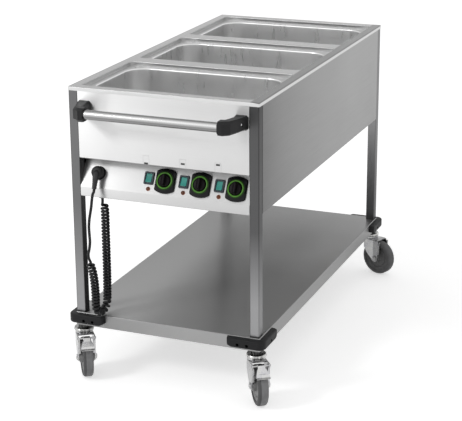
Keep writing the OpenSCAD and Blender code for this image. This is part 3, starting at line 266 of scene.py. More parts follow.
def finish_piece(name, body, surfaces, material, nodes=(), crease=32, bevel=0.0):
    """Joins surfaces into one mesh, merges doubles, turns its faces outwards and puts it on its body."""
    places, faces, start = [], [], 0
    for points, quads in surfaces:
        places.append(points + np.array([0, trolley_y, 0]))
        faces += [[v + start for v in q] for q in quads]
        start += len(points)
    mesh = bpy.data.meshes.new(name)
    mesh.from_pydata(np.vstack(places).tolist(), [], faces)
    shape = bmesh.new()
    shape.from_mesh(mesh)
    bmesh.ops.remove_doubles(shape, verts=shape.verts, dist=2e-6)
    bmesh.ops.dissolve_degenerate(shape, dist=1e-6, edges=shape.edges)
    bmesh.ops.recalc_face_normals(shape, faces=shape.faces)
    shape.to_mesh(mesh)
    shape.free()
    mesh.shade_smooth()
    mesh.set_sharp_from_angle(angle=math.radians(crease))
    mesh.materials.append(material)
    made = bpy.data.objects.new(name, mesh)
    bpy.context.scene.collection.objects.link(made)
    if bevel:
        edge = made.modifiers.new("edges", "BEVEL")
        edge.width, edge.segments, edge.limit_method, edge.angle_limit = bevel, 3, "ANGLE", math.radians(40)
        edge.harden_normals = True
    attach(made, body)
    if nodes:
        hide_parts(*nodes)
    return made


def moved(surface, place=(0, 0, 0), x=(1, 0, 0), y=(0, 1, 0), z=(0, 0, 1)):
    """A surface carried to a place, its own x, y and z turned to the three directions."""
    points, faces = surface
    return points @ np.array([x, y, z], float) + np.array(place, float), faces


def extruded(outline, thick):
    """A flat outline in x and y, thickened evenly about z = 0, with a face over each side."""
    flat = np.array(outline, float)
    low = np.column_stack([flat, np.full(len(flat), -thick / 2)])
    high = np.column_stack([flat, np.full(len(flat), thick / 2)])
    return [grid(np.stack([low, high]), round_columns=True), lid(low), lid(high)]


def bent(points, thick, radius=0.004, count=7):
    """Outline of a sheet folded along a line: arcs at the bends, half the thickness to each side."""
    p = np.array(points, float)
    line = [p[0]]
    for before, corner, after in zip(p[:-2], p[1:-1], p[2:]):
        u = (before - corner) / np.linalg.norm(before - corner)
        v = (after - corner) / np.linalg.norm(after - corner)
        half = math.acos(np.clip(np.dot(u, v), -1, 1)) / 2
        reach = radius / math.tan(half)
        t = np.linspace(0, 1, count)[:, None]
        start, end = corner + reach * u, corner + reach * v
        line += list((1 - t) ** 2 * start + 2 * t * (1 - t) * corner + t**2 * end)
    line = np.array(line + [p[-1]])
    way = np.gradient(line, axis=0)
    way /= np.linalg.norm(way, axis=1)[:, None]
    side = thick / 2 * np.column_stack([-way[:, 1], way[:, 0]])
    return np.vstack([line + side, (line - side)[::-1]])


def all_moved(surfaces, place=(0, 0, 0), **turn):
    """Several surfaces carried to one place and turned alike."""
    return [moved(s, place, **turn) for s in surfaces]


def cut_sheet(outline, thick, place=(0, 0, 0), **turn):
    """A flat plate with an outline, carried to a place and turned."""
    return all_moved(extruded(outline, thick), place, **turn)


across_trolley = dict(x=(0, 1, 0), y=(0, 0, 1), z=(1, 0, 0))
along_trolley = dict(x=(1, 0, 0), y=(0, 0, 1), z=(0, 1, 0))
end_span, side_span, fold_radius, folded_in = 0.546, 1.150, 0.0027, 0.012
half_sheet = sheet_thick / 2
panel_top, panel_foot = rim_top - 0.0031, side_foot + half_sheet
front_face = -half_length + half_sheet
slope_back = (front_foot - crease) * math.tan(lean)


def folded_sheet(profile, span, turn):
    """A sheet folded along its profile's corners, as long as the span."""
    return cut_sheet(bent(profile, sheet_thick, fold_radius), span, **turn)


front_profile = [
    (front_face, panel_top), (front_face, front_foot + half_sheet),
    (-half_length + slope_back + folded_in, front_foot + half_sheet),
]
slope_profile = [
    (-half_length + folded_in, panel_foot), (front_face, panel_foot),
    (front_face, crease), (front_face + slope_back, front_foot - half_sheet),
    (-half_length + slope_back + folded_in, front_foot - half_sheet),
]


def wall_profile(side, half):
    """A wall from under the rim straight down to its foot, where it is folded in."""
    face = side * (half - half_sheet)
    return [(face, panel_top), (face, panel_foot), (side * (half - folded_in), panel_foot)]


for name, profile, span, turn, material, slot in (
    ("front_panel", front_profile, end_span, across_trolley, front_steel, "front_sheet"),
    ("control_panel", slope_profile, end_span, across_trolley, slope_steel, "control_sheet"),
    ("side_panel_left", wall_profile(-1, half_width), side_span, along_trolley, side_steel, "side_sheet"),
    ("side_panel_right", wall_profile(1, half_width), side_span, along_trolley, side_steel, "side_sheet"),
    ("rear_panel", wall_profile(1, half_length), end_span, across_trolley, side_steel, "side_sheet"),
):
    finish_piece(name, "frame", folded_sheet(profile, span, turn), material, (name,))
finish_node("bottom_cover", cover_steel)

# Faint level marks are printed on the front panel above each dial: an empty outline with a
# dark bar, low, half full and full.


def moulded(name, base, rough=0.5, fine=900.0, strength=0.25, **sockets):
    """Moulded rubber or plastic: a fine even grain, with slow changes of shade and gloss."""
    material, tree, shader, place = finish_nodes(name, base, rough, **sockets)
    slow = grain(tree, place, (28, 28, 28), 4)
    shade_between(
        tree, slow, [0.8 * c for c in base], [min(1, 1.2 * c) for c in base],
        shader.inputs["Base Color"],
    )
    spread(tree, slow, rough - 0.06, rough + 0.08, shader.inputs["Roughness"])
    raised(tree, grain(tree, place, (fine, fine, fine), 2), strength, 0.0002, shader.inputs["Normal"])
    return material


upright = dict(x=(1, 0, 0), y=(0, 0, 1), z=(0, -1, 0))
mark_y, line_wide, box_wide, box_low, box_high = -half_length - 0.0001, 0.0006, 0.020, 0.7030, 0.7305
box_side, box_middle, bar_wide, bar_high = 0.0097, 0.7168, 0.0124, 0.0052
mark_grey = moulded("mark_grey", (0.55, 0.55, 0.55), 0.5, 300.0, 0.02)
mark_black = moulded("mark_black", (0.03, 0.03, 0.03), 0.5, 300.0, 0.02)


def oblong(wide, high):
    """Corners of a plain oblong about its middle."""
    return [(-wide / 2, -high / 2), (wide / 2, -high / 2), (wide / 2, high / 2), (-wide / 2, high / 2)]


outlines, bars = [], []
for x, level in ((-0.053, 0.7065), (0.065, 0.7165), (0.176, 0.7250)):
    for z in (box_high, box_low):
        outlines += cut_sheet(oblong(box_wide, line_wide), 0.0003, (x, mark_y, z), **upright)
    for side in (-1, 1):
        place = (x + side * box_side, mark_y, box_middle)
        outlines += cut_sheet(oblong(line_wide, box_high - box_low), 0.0003, place, **upright)
    bars += cut_sheet(oblong(bar_wide, bar_high), 0.0004, (x, mark_y, level), **upright)
finish_piece("level_outlines", "frame", outlines, mark_grey)
finish_piece("level_bars", "frame", bars, mark_black)

# Three gastronorm wells are deep drawn from smooth sheet. Each has a flat ledge for the pan's
# rim, a rolled mouth, upright walls, a coved floor and a drain with a strainer.
well_steel = brushed("well_steel", (0.76, 0.76, 0.76), (60, 60, 9), (0, 0, 1), 0.30, 0.015, Anisotropic=0.0)
well_wide, well_long, well_deep, ledge = 0.512, 0.306, 0.200, 0.907
well_corner, mouth_roll, floor_cove, well_skin = 0.060, 0.006, 0.018, 0.0012
# Painted shade: the ledge and the crown of each well's rolled mouth are darkened to 0.55.
banded(well_steel, (0, 0, 1), 0.890, 0.910, [(0.0, 1.0), (0.72, 1.0), (0.82, 0.55), (1.0, 0.55)])
recess_wide, recess_long, recess_corner, well_pitch = 0.550, 0.347, 0.015, 0.403
drain_x = 0.150


def turned(profile, sides=64):
    """Surface turned about z: (radius, height) pairs carried round the angle."""
    p = np.array(profile, float)[:, None]
    a = np.linspace(0, 2 * np.pi, sides, endpoint=False)[None, :]
    heights = np.broadcast_to(p[..., 1], (len(p), sides))
    return grid(np.stack([p[..., 0] * np.cos(a), p[..., 0] * np.sin(a), heights], -1), round_columns=True)


def round_oblong(wide, long, corner, out, count=17):
    """Outline of an oblong with round corners: corner centre + (corner + out) * direction."""
    a = np.radians(np.linspace(0, 90, count))
    points = []
    for k, (sx, sy) in enumerate(((1, 1), (-1, 1), (-1, -1), (1, -1))):
        centre = np.array([sx * (wide / 2 - corner), sy * (long / 2 - corner)])
        turn = a + k * np.pi / 2
        points.append(centre + (corner + out) * np.column_stack([np.cos(turn), np.sin(turn)]))
    return np.vstack(points)


def well_rows(skin):
    """Outlines from the ledge's edge over the mouth, down the wall and over the floor to the drain."""
    rows = [(round_oblong(recess_wide, recess_long, recess_corner, 0.0), -skin)]
    r = mouth_roll - skin
    for t in np.radians(np.linspace(90, 180, 9)):
        out, z = mouth_roll + r * math.cos(t), -mouth_roll + r * math.sin(t)
        rows.append((round_oblong(well_wide, well_long, well_corner, out), z))
    for share in (0.2, 0.5, 0.8):
        z = -mouth_roll - share * (well_deep - mouth_roll - floor_cove)
        rows.append((round_oblong(well_wide, well_long, well_corner, skin), z))
    r = floor_cove + skin
    for t in np.radians(np.linspace(0, -90, 10)):
        out, z = -floor_cove + r * math.cos(t), -well_deep + floor_cove + r * math.sin(t)
        rows.append((round_oblong(well_wide, well_long, well_corner, out), z))
    outline = rows[-1][0] - np.array([drain_x, 0])
    way = outline / np.linalg.norm(outline, axis=1)[:, None]
    for r in (0.050, 0.024, 0.0225):
        rows.append((np.array([drain_x, 0]) + r * way, rows[-1][1]))
    return [np.column_stack([o, np.full(len(o), z)]) for o, z in rows]


def zinc(name, grey=0.63, rough=0.3, patches=(60, 60, 60), contrast=0.12):
    """Zinc plating over pressed steel: a soft mottled tone with a trace of blue and yellow; at high contrast
    the same noise paints reflections.
    """
    material, tree, shader, place = finish_nodes(name, (grey, grey, grey), rough, metal=1.0)
    mottle_and_painted_streaks = grain(tree, place, patches, 5)
    low, high = grey * (1 - contrast), grey * (1 + contrast)
    shade_between(
        tree, mottle_and_painted_streaks, (low, low, 1.05 * low), (high, high, 0.97 * high), shader.inputs["Base Color"]
    )
    spread(tree, mottle_and_painted_streaks, rough - 0.06, rough + 0.12, shader.inputs["Roughness"])
    raised(tree, grain(tree, place, (350, 350, 350), 3), 0.15, 0.0003, shader.inputs["Normal"])
    return material


zinc_bright = zinc("zinc_bright", rough=0.16)
drain_cup = [
    (0.0222, -0.0012), (0.0235, 0.0006), (0.0226, 0.0012), (0.0205, 0.0006), (0.0190, -0.0008),
    (0.0120, -0.0004), (0.0, 0.0010), (0.0, -0.0012),
]
for name, y in (("front", -well_pitch), ("middle", 0.0), ("rear", well_pitch)):
    skin = np.stack(well_rows(0.0) + well_rows(well_skin)[::-1])
    surfaces = [moved(grid(skin, True, True), (0, y, ledge))]
    finish_piece("well_" + name, "frame", surfaces, well_steel, ("well_" + name,))
    strainer = moved(turned(drain_cup, 48), (drain_x, y, ledge - well_deep))
    finish_piece("strainer_" + name, "frame", [strainer], zinc_bright)

# The top plate is pressed from one sheet, brushed along the trolley, and welded to the wells
# under its stepped recesses.
rim_steel = brushed("rim_steel", (0.64, 0.64, 0.64), (700, 6, 700), (1, 0, 0), 0.30, 0.05)
# Painted shade on the top plate: its flat top is darker than the bent edges below it, and darker still along
# the right-hand rim.
banded(rim_steel, (0, 0, 1), 0.905, 0.9205, [(0.0, 1.0), (0.80, 1.0), (0.95, 0.60), (1.0, 0.60)])
banded(rim_steel, (1, 0, 10), 9.470, 9.504, [(0.0, 1.0), (0.12, 1.0), (0.2, 0.36), (1.0, 0.36)])
finish_node("top_plate", rim_steel)

# Out of sight: silicone heating mats under the wells, the thermostats behind the slope, and
# ball valves with red levers that drain the wells through the cover.
finish_node("heating_mats", moulded("mat_silicone", (0.45, 0.14, 0.04), 0.6, 300.0, 0.4))
finish_node("thermostats", moulded("thermostat_case", (0.40, 0.30, 0.18), 0.5, 500.0, 0.2))
valve_brass, tree, shader, place = finish_nodes("valve_brass", (0.62, 0.44, 0.18), 0.3, metal=1.0)
shade_between(
    tree, grain(tree, place, (90, 90, 400), 4), (0.52, 0.36, 0.14), (0.70, 0.52, 0.24),
    shader.inputs["Base Color"],
)
finish_node("drain_valves", valve_brass)
lever_red = moulded("lever_red", (0.48, 0.03, 0.02), 0.35, 400.0, 0.15)
for name in ("front", "middle", "rear"):
    finish_node("drain_lever_" + name, lever_red)

# Each well has its own controls on the slope: a dial on a moulded plate, a lit rocker switch to
# its left and a pilot lamp below that. The plates are pushed on over the thermostats' bushes.
dial_xs, dial_up, switch_left, switch_up, lamp_up = (0.0, 0.113, 0.226), 0.044, -0.054, 0.048, 0.0155


def on_slope(x, v, out=0.0):
    """Place and directions of a spot on the slope: x along it, y up it, z out of it."""
    up = np.array([0, math.sin(lean), math.cos(lean)])
    off = np.array([0, -math.cos(lean), math.sin(lean)])
    place = np.array([x, -half_length, crease]) + v * up + out * off
    return dict(place=tuple(place), x=(1, 0, 0), y=tuple(up), z=tuple(off))


def soft_square(wide, high, power_wide, power_high, count=72):
    """Superellipse: (|cos a|^(2/m), |sin a|^(2/n)) with its own power for each half axis."""
    a = np.linspace(0, 2 * np.pi, count, endpoint=False)
    c, s = np.cos(a), np.sin(a)
    x = wide / 2 * np.sign(c) * np.abs(c) ** (2 / power_wide)
    y = high / 2 * np.sign(s) * np.abs(s) ** (2 / power_high)
    return np.column_stack([x, y])


def barrel(wide, high, bow, count=144):
    """Straight sides and bowed ends: 1 / r^28 = (|cos a| / half width)^28 + 1 / r_bow^28.

    r_bow = sqrt(bow^2 - (d cos a)^2) - d |sin a|, with d = bow - half height.
    """
    a = np.linspace(0, 2 * np.pi, count, endpoint=False)
    d = bow - high / 2
    r_bow = np.sqrt(bow**2 - (d * np.cos(a)) ** 2) - d * np.abs(np.sin(a))
    radius = ((np.abs(np.cos(a)) / (wide / 2)) ** 28 + r_bow**-28) ** (-1 / 28)
    return np.column_stack([radius * np.cos(a), radius * np.sin(a)])


def between(outer, inner, share):
    """An outline part of the way from an outer one to an inner one."""
    return (1 - share) * outer + share * inner


def stacked(outlines):
    """Outlines in x and y at their heights, as the rows of one surface."""
    return np.stack([np.column_stack([o, np.full(len(o), z)]) for o, z in outlines])


def capped(rows):
    """Rows of a stack as one surface, with a flat face over its top and its foot."""
    return [grid(rows, round_columns=True), lid(rows[-1]), lid(rows[0])]


def turned_ring(profile, sides):
    """A closed outline of (radius, height) turned about z into a ring."""
    return grid(turned(profile, sides)[0].reshape(-1, sides, 3), True, True)


def arc(centre, radius, start, end, count=8):
    """Points of a circle's arc, angles in degrees."""
    a = np.radians(np.linspace(start, end, count))
    return [(centre[0] + radius * math.cos(t), centre[1] + radius * math.sin(t)) for t in a]


around = np.linspace(0, 2 * np.pi, 144, endpoint=False)
circle = np.column_stack([np.cos(around), np.sin(around)])
plate = barrel(0.063, 0.0760, 0.060)
bezel_rows = [
    (plate * 0.97, 0.0), (plate, 0.0010), (plate, 0.0035), (plate * 0.985, 0.0050),
    (plate * 0.955, 0.0060),
]
bezel_rows += [(between(plate * 0.955, 0.0300 * circle, s), 0.0060 + 0.0018 * s) for s in (0.35, 0.7)]
bezel_rows += [(r * circle, z) for r, z in (
    (0.0297, 0.0084), (0.0293, 0.0092), (0.0270, 0.0086), (0.0209, 0.0064), (0.0052, 0.0061))]
bezel_back = [(plate * 0.97, 0.0), (0.0052 * circle, 0.0), (0.0052 * circle, 0.0061)]
ring_rows = [
    (0.0287, 0.0086), (0.0284, 0.0094), (0.0268, 0.0102), (0.0254, 0.0108), (0.0248, 0.0116),
    (0.0242, 0.0121), (0.0226, 0.0122), (0.0214, 0.0119), (0.0208, 0.0110), (0.0202, 0.0090),
    (0.0200, 0.0074), (0.0204, 0.0068), (0.0280, 0.0084),
]
knob_rows = [
    (0.0, 0.0066), (0.0188, 0.0066), (0.0194, 0.0076), (0.0188, 0.0120), (0.0182, 0.0145),
    (0.0172, 0.0160), (0.0156, 0.0168), (0.0120, 0.0172), (0.0, 0.0174),
]
black_plastic = moulded("black_plastic", (0.006, 0.006, 0.007), 0.34, 700.0, 0.08, Specular_IOR_Level=0.2)
knob_plastic = moulded("knob_plastic", (0.0060, 0.0040, 0.0052), 0.46, 700.0, 0.05, Specular_IOR_Level=0.12)
ring_green = moulded("ring_green", (0.085, 0.270, 0.030), 0.40, 500.0, 0.05, Specular_IOR_Level=0.2)
slope_out = (0, -math.cos(lean), math.sin(lean))
slope_level = float(np.dot(slope_out, (0, trolley_y - half_length, crease)))
# Painted light on the dial rings: the crest, standing highest, is light, and the flanks nearer the bezel are
# painted in shade.
banded(
    ring_green, slope_out, slope_level + 0.008, slope_level + 0.013,
    [(0.0, 0.08), (0.55, 0.16), (0.66, 0.55), (0.76, 1.0), (1.0, 1.0)],
)
bezels, rings = [], []
for x in dial_xs:
    for rows in (bezel_rows, bezel_back):
        bezels.append(moved(grid(stacked(rows), round_columns=True), **on_slope(x, dial_up)))
    rings.append(moved(turned_ring(ring_rows, 96), **on_slope(x, dial_up)))
finish_piece("dial_bezels", "frame", bezels, black_plastic, ("dial_bezels",), crease=40)
finish_piece("dial_rings", "frame", rings, ring_green, ("dial_rings",))


def grip_bar():
    """Knob's bar: rounded oblongs that narrow as they rise, with a shallow channel along the top."""
    sizes = (
        (0.0140, 0.0368, 0.0140), (0.0124, 0.0360, 0.0200), (0.0114, 0.0350, 0.0245),
        (0.0108, 0.0344, 0.0268), (0.0096, 0.0332, 0.0280), (0.0084, 0.0322, 0.0282),
        (0.0064, 0.0300, 0.0270), (0.0030, 0.0270, 0.0262),
    )
    return capped(stacked([(soft_square(wide, long, 8.0, 3.2), z) for wide, long, z in sizes]))


def rod(radius, low, high, sides):
    """A plain round rod about z."""
    return turned([(0, low), (radius, low), (radius, high), (0, high)], sides)


for x, name in zip(dial_xs, ("front", "middle", "rear")):
    knob = all_moved(
        [turned(knob_rows, 72), rod(0.0029, -0.027, 0.0070, 20), *grip_bar()], **on_slope(x, dial_up)
    )
    finish_piece("knob_" + name, "dial_" + name, knob, knob_plastic, ("knob_" + name,))

switch_plastic = moulded("switch_plastic", (0.022, 0.032, 0.044), 0.42, 600.0, 0.05, Specular_IOR_Level=0.3)
rocker_lens = moulded("rocker_lens", (0.050, 0.33, 0.28), 0.30, 200.0, 0.03, Specular_IOR_Level=0.25)
frame_rows = [
    (soft_square(wide, wide + lengthened, 12, 14), z) for wide, lengthened, z in (
        (0.0305, 0.0080, 0.0), (0.0305, 0.0080, 0.0030), (0.0296, 0.0080, 0.0046), (0.0284, 0.0080, 0.0050),
        (0.0216, 0.0086, 0.0049), (0.0200, 0.0086, 0.0040), (0.0200, 0.0086, -0.0090))
]
frames = [
    moved(grid(stacked(frame_rows), round_columns=True), **on_slope(x + switch_left, switch_up))
    for x in dial_xs
]
for x in dial_xs:
    frames += cut_sheet(oblong(0.0270, 0.0310), 0.018, **on_slope(x + switch_left, switch_up, -0.0105))
finish_piece("switch_frames", "frame", frames, switch_plastic, ("switch_frames",))


def rocker_key():
    """Dished key: across it one profile, along it soft ends, its top sunk towards the middle."""
    rows = []
    for z, wide in ((-0.0045, 0.0180), (0.0000, 0.0188), (0.0030, 0.0187), (0.0038, 0.0178)):
        rows.append(np.column_stack([soft_square(wide, wide * 27 / 19, 9, 12), np.full(72, z)]))
    top = soft_square(0.0160, 0.0235, 9, 12)
    for share in (1.0, 0.8, 0.55, 0.3):
        flat = top * share
        rows.append(np.column_stack([flat, 0.0041 - 0.0011 * (1 - (flat[:, 1] / 0.0125) ** 2)]))
    return capped(np.stack(rows))


tip = math.radians(-7)
tipped = dict(x=(1, 0, 0), y=(0, math.cos(tip), math.sin(tip)), z=(0, -math.sin(tip), math.cos(tip)))
for x, name in zip(dial_xs, ("front", "middle", "rear")):
    pivot = moved(rod(0.0015, -0.0113, 0.0113, 20), **across_trolley)
    key = all_moved([*all_moved(rocker_key(), **tipped), pivot], **on_slope(x + switch_left, switch_up))
    finish_piece("rocker_" + name, "switch_" + name, key, rocker_lens, ("rocker_" + name,))

lamp_lens = moulded("lamp_lens", (0.62, 0.16, 0.045), 0.30, 300.0, 0.03, Specular_IOR_Level=0.3)
banded(
    lamp_lens, slope_out, slope_level, slope_level + 0.004,
    [(0.0, 1.0), (0.36, 1.0), (0.44, 0.26), (1.0, 0.14)],
)
lamp_rows = [
    (0.0, -0.0210), (0.0044, -0.0210), (0.0044, -0.0001), (0.0062, -0.0001), (0.00625, 0.0008),
    *arc((0.0, -0.0060), 0.0098, 50, 90, 8),
]
lamps = [moved(turned(lamp_rows, 40), **on_slope(x - 0.052, lamp_up)) for x in dial_xs]
finish_piece("pilot_lamps", "frame", lamps, lamp_lens, ("pilot_lamps",))

# The handle is a polished stainless tube held at each end by a moulded bracket: a soft block
# over the tube's end, an elbow, and a foot on the front panel with screws from inside.
tube_y, tube_z, tube_radius, tube_half = -0.680, 0.859, 0.0145, 0.210
laid_down = dict(x=(1, 0, 0), y=(0, 0, -1), z=(0, 1, 0))


def along(line):
    """Unit direction at each point of a line, from its two neighbours."""
    step = np.gradient(line, axis=0)
    return step / np.linalg.norm(step, axis=1)[:, None]


def untwisted_sides(way, first):
    """A side direction for each point, carried along the line without turning about it."""
    sides = [np.array(first, float) - np.dot(first, way[0]) * way[0]]
    for d in way[1:]:
        sides.append(sides[-1] - np.dot(sides[-1], d) * d)
    sides = np.array(sides)
    return sides / np.linalg.norm(sides, axis=1)[:, None]


def tube(line, radius, sides=14, first=(1, 0, 0)):
    """Round tube: centre + radius * (cos a * side + sin a * across) over the line and the angle a."""
    way = along(line)
    side = untwisted_sides(way, first)
    across = np.cross(way, side)
    a = np.linspace(0, 2 * np.pi, sides, endpoint=False)[None, :, None]
    radius = np.broadcast_to(radius, len(line))[:, None, None]
    return line[:, None] + radius * (np.cos(a) * side[:, None] + np.sin(a) * across[:, None])


def closed_tube(points):
    """A tube of rings with a flat face over each end."""
    return [grid(points, round_columns=True), lid(points[0]), lid(points[-1])]


handle_steel, tree, shader, place = finish_nodes("handle_steel", (0.80, 0.80, 0.80), 0.16, metal=1.0)
lines = grain(tree, place, (500, 6, 500), 5)
shade_between(tree, lines, (0.74, 0.74, 0.74), (0.84, 0.84, 0.84), shader.inputs["Base Color"])
spread(tree, lines, 0.12, 0.22, shader.inputs["Roughness"])
# Painted reflection round the handle tube: dark underneath, a bright band above its middle and grey along the
# top.
banded(
    handle_steel, (0, 0, 1), tube_z - tube_radius, tube_z + tube_radius,
    [
        (0.0, 0.10), (0.06, 0.13), (0.16, 0.32), (0.42, 0.26), (0.52, 0.46), (0.58, 0.66), (0.64, 0.92),
        (0.76, 0.92), (0.84, 0.72), (0.91, 0.44), (0.97, 0.22), (1.0, 0.22),
    ],
)
tube_line = np.array([[x, tube_y, tube_z] for x in np.linspace(-tube_half - 0.0215, tube_half + 0.0215, 9)])
finish_piece(
    "handle_tube", "frame", closed_tube(tube(tube_line, tube_radius, 72, (0, 1, 0))), handle_steel,
    ("handle_tube",),
)
bracket_black = moulded("bracket_black", (0.012, 0.012, 0.013), 0.46, 800.0, 0.3, Specular_IOR_Level=0.25)


def eight_sided(wide, high, cut):
    """An oblong with cut corners, from the lower right on, by its half width and half height."""
    return np.array([
        (wide, -high + cut), (wide, high - cut), (wide - cut, high), (-wide + cut, high),
        (-wide, high - cut), (-wide, -high + cut), (-wide + cut, -high), (wide - cut, -high),
    ])


def bracket_surface(side):
    """Rings from inside the tube's mouth over the grip block and back to the foot.

    Each ring is an oblong with cut corners: x, y, heading, half width, half height and cut.
    """
    rows = [
        (0.2200, -0.680, 0, 0.0150, 0.0150, 0.0088), (0.2105, -0.680, 0, 0.0150, 0.0150, 0.0088),
        (0.2104, -0.680, 0, 0.0180, 0.0186, 0.0080), (0.2114, -0.680, 0, 0.0187, 0.0206, 0.0080),
        (0.2255, -0.680, 0, 0.0189, 0.0212, 0.0078), (0.2335, -0.6730, 50, 0.0180, 0.0208, 0.0070),
        (0.2420, -0.6480, 71, 0.0172, 0.0200, 0.0060), (0.2472, -0.6270, 76, 0.0174, 0.0196, 0.0056),
        (0.2492, -0.6160, 84, 0.0186, 0.0200, 0.0052), (0.2500, -0.6095, 90, 0.0206, 0.0214, 0.0050),
        (0.2500, -0.6051, 90, 0.0210, 0.0216, 0.0050),
    ]
    points = []
    for x, y, heading, wide, high, cut in rows:
        h = math.radians(heading)
        flat = eight_sided(wide, high, cut)
        across = np.array([math.sin(h), -math.cos(h), 0])
        points.append(np.array([x, y, tube_z]) + flat[:, :1] * across + flat[:, 1:] * np.array([0, 0, 1]))
    return closed_tube(np.stack(points) * np.array([side, 1, 1]))


def drilled(piece, tools):
    """Cuts closed surfaces out of a finished piece and takes them away again."""
    cutter = finish_piece("drill", "frame", tools, piece.data.materials[0])
    cut = piece.modifiers.new("holes", "BOOLEAN")
    cut.object, cut.solver, cut.operation = cutter, "EXACT", "DIFFERENCE"
    shaped = bpy.data.meshes.new_from_object(piece.evaluated_get(bpy.context.evaluated_depsgraph_get()))
    piece.modifiers.remove(cut)
    piece.data = shaped
    shaped.shade_smooth()
    shaped.set_sharp_from_angle(angle=math.radians(32))
    bpy.data.objects.remove(cutter)


screw_steel = zinc("screw_steel", rough=0.22)
screw_head = [
    (0.0, 0.0004), (0.0018, 0.0004), (0.0022, 0.0014), (0.0036, 0.0006), (0.0038, -0.0004),
    (0.0024, -0.0030), (0.0, -0.0030),
]
bracket_hole = [(0.0, 0.0030), (0.0058, 0.0030), (0.0052, -0.0060), (0.0, -0.0060)]
slant, screw_x, screw_y, screw_out, screw_sunk = math.radians(71), 0.2468, -0.6290, 0.0174, 0.0030
bracket_screws = []
for side, name in ((-1, "handle_bracket_left"), (1, "handle_bracket_right")):
    bracket = finish_piece(name, "frame", bracket_surface(side), bracket_black, (name,))
    outward = (side * math.sin(slant), -math.cos(slant), 0)
    facing = dict(x=(side * math.cos(slant), math.sin(slant), 0), y=(0, 0, 1), z=outward)
    spot = screw_out * np.array(outward) + np.array([side * screw_x, screw_y, 0.860])
    drilled(bracket, [moved(turned(bracket_hole, 32), tuple(spot), **facing)])
    bracket_screws.append(
        moved(turned(screw_head, 28), tuple(spot - screw_sunk * np.array(outward)), **facing)
    )
finish_piece("bracket_screws", "frame", bracket_screws, screw_steel)
cap = [
    (0.0, 0.0), (0.0044, 0.0), (0.0044, 0.0030), (0.0036, 0.0042), (0.0022, 0.0044), (0.0018, 0.0024),
    (0.0, 0.0024),
]
handle_screws = []
for side in (-1, 1):
    for up in (-0.012, 0.012):
        spot = (side * 0.250, -half_length + sheet_thick, tube_z + up)
        handle_screws.append(moved(turned(cap, 28), spot, **laid_down))
finish_piece("handle_screws", "frame", handle_screws, screw_steel, ("handle_screws",))

# The castors are pressed and zinc plated: a bearing dish under each post's stem, a fork that
# swivels in it on a king pin, and a grey wheel with a moulded tyre on an axle bolt. The front
# pair have brake pedals, hinged on a pin between the front legs of the fork.
wheel_radius, tyre_deep, wheel_trail, head_inset = 0.0625, 0.014, 0.040, 0.015


def castor_frame(sx, sy, bearing):
    """Place and directions of one castor: x along its trail, y along its axle."""
    b = math.radians(bearing)
    return dict(
        place=(sx * (half_width - head_inset), sy * (half_length - head_inset), 0),
        x=(math.sin(b), -math.cos(b), 0), y=(math.cos(b), math.sin(b), 0),
    )


def about_axle(surface):
    """Turns a surface about z into one about the wheel's axle, in the castor's own frame."""
    return moved(surface, (wheel_trail, 0, wheel_radius), **laid_down)


def mirrored(profile):
    """A profile carried on by its own mirror image across the middle."""
    return list(profile) + [(r, -z) for r, z in reversed(profile)]


# Painted light on the bearing dishes: at this high contrast, stretched up and down, the noise paints streaked
# reflections, and above the ring the dish top and stem are painted in shade at 0.15.
head_zinc = zinc("head_zinc", 0.46, 0.14, (130, 130, 30), 0.75)
banded(head_zinc, (0, 0, 1), 0.120, 0.160, [(0.0, 1.0), (0.74, 1.0), (0.76, 0.15), (1.0, 0.15)])
dish = [
    (0.0, 0.160), (0.0170, 0.160), (0.0170, 0.1530), *arc((0.0190, 0.1520), 0.0020, 180, 270, 4),
    (0.0262, 0.1500), *arc((0.0262, 0.1455), 0.0045, 90, 0, 8),
    *arc((0.0290, 0.1425), 0.0020, 45, -60, 6), (0.0286, 0.1392), (0.0284, 0.1375), (0.0284, 0.1466),
    (0.0200, 0.1472), (0.0, 0.1472),
]
stem = extruded(eight_sided(0.0135, 0.0135, 0.0015), 0.055)
stem_middle = 0.1875
king_head = [(0.0, 0.1217), (0.0085, 0.1217), (0.0100, 0.1230), (0.0100, 0.1277), (0.0, 0.1277)]
heads = []
for sx, sy, bearing in four_corners.values():
    x, y, floor_z = castor_frame(sx, sy, bearing)["place"]
    heads += all_moved([turned(dish), turned(king_head, 32)], (x, y, floor_z))
    heads += all_moved(stem, (x, y, stem_middle))
finish_piece("castor_heads", "frame", heads, head_zinc, ("castor_heads",))


def six_sided(radius, turn=0):
    """Corners of a hexagon about its middle, turned by an angle in degrees."""
    return [(radius * math.cos(a), radius * math.sin(a)) for a in np.radians(np.arange(6) * 60 + turn)]


cup = [
    (0.0061, 0.1404), (0.0200, 0.1404), (0.0268, 0.1396), *arc((0.0262, 0.1372), 0.0020, 60, 0, 4),
    *arc((0.0262, 0.1340), 0.0020, 0, -60, 4), (0.0200, 0.1282), (0.0061, 0.1282),
]
crown_z, crown_thick, crown_half, fork_side, leg_thick = 0.1300, 0.0038, 0.0255, 0.0258, 0.0034
crown_round = [(-0.0060, 0.0255), *arc((0.0, 0.0), 0.0262, 104, 256, 14), (-0.0060, -0.0255)]
nut, nut_thick, nut_out, bolt_out = six_sided(0.0100, 12), 0.0038, 0.0295, 0.0312
flange_x, flange_out, flange_foot, flange_thick = 0.0580, 0.0270, 0.0800, 0.0028
rim_radius = wheel_radius - tyre_deep
wheel_face = [
    (0.0061, 0.0230), (0.0120, 0.0230), (0.0160, 0.0225), (0.0170, 0.0205), (0.0180, 0.0125),
    (0.0205, 0.0108), (0.0330, 0.0106), (0.0345, 0.0086), (0.0362, 0.0086), (0.0377, 0.0106),
    (0.0405, 0.0112), (0.0430, 0.0128), (rim_radius - 0.0008, 0.0130), (rim_radius, 0.0122),
]
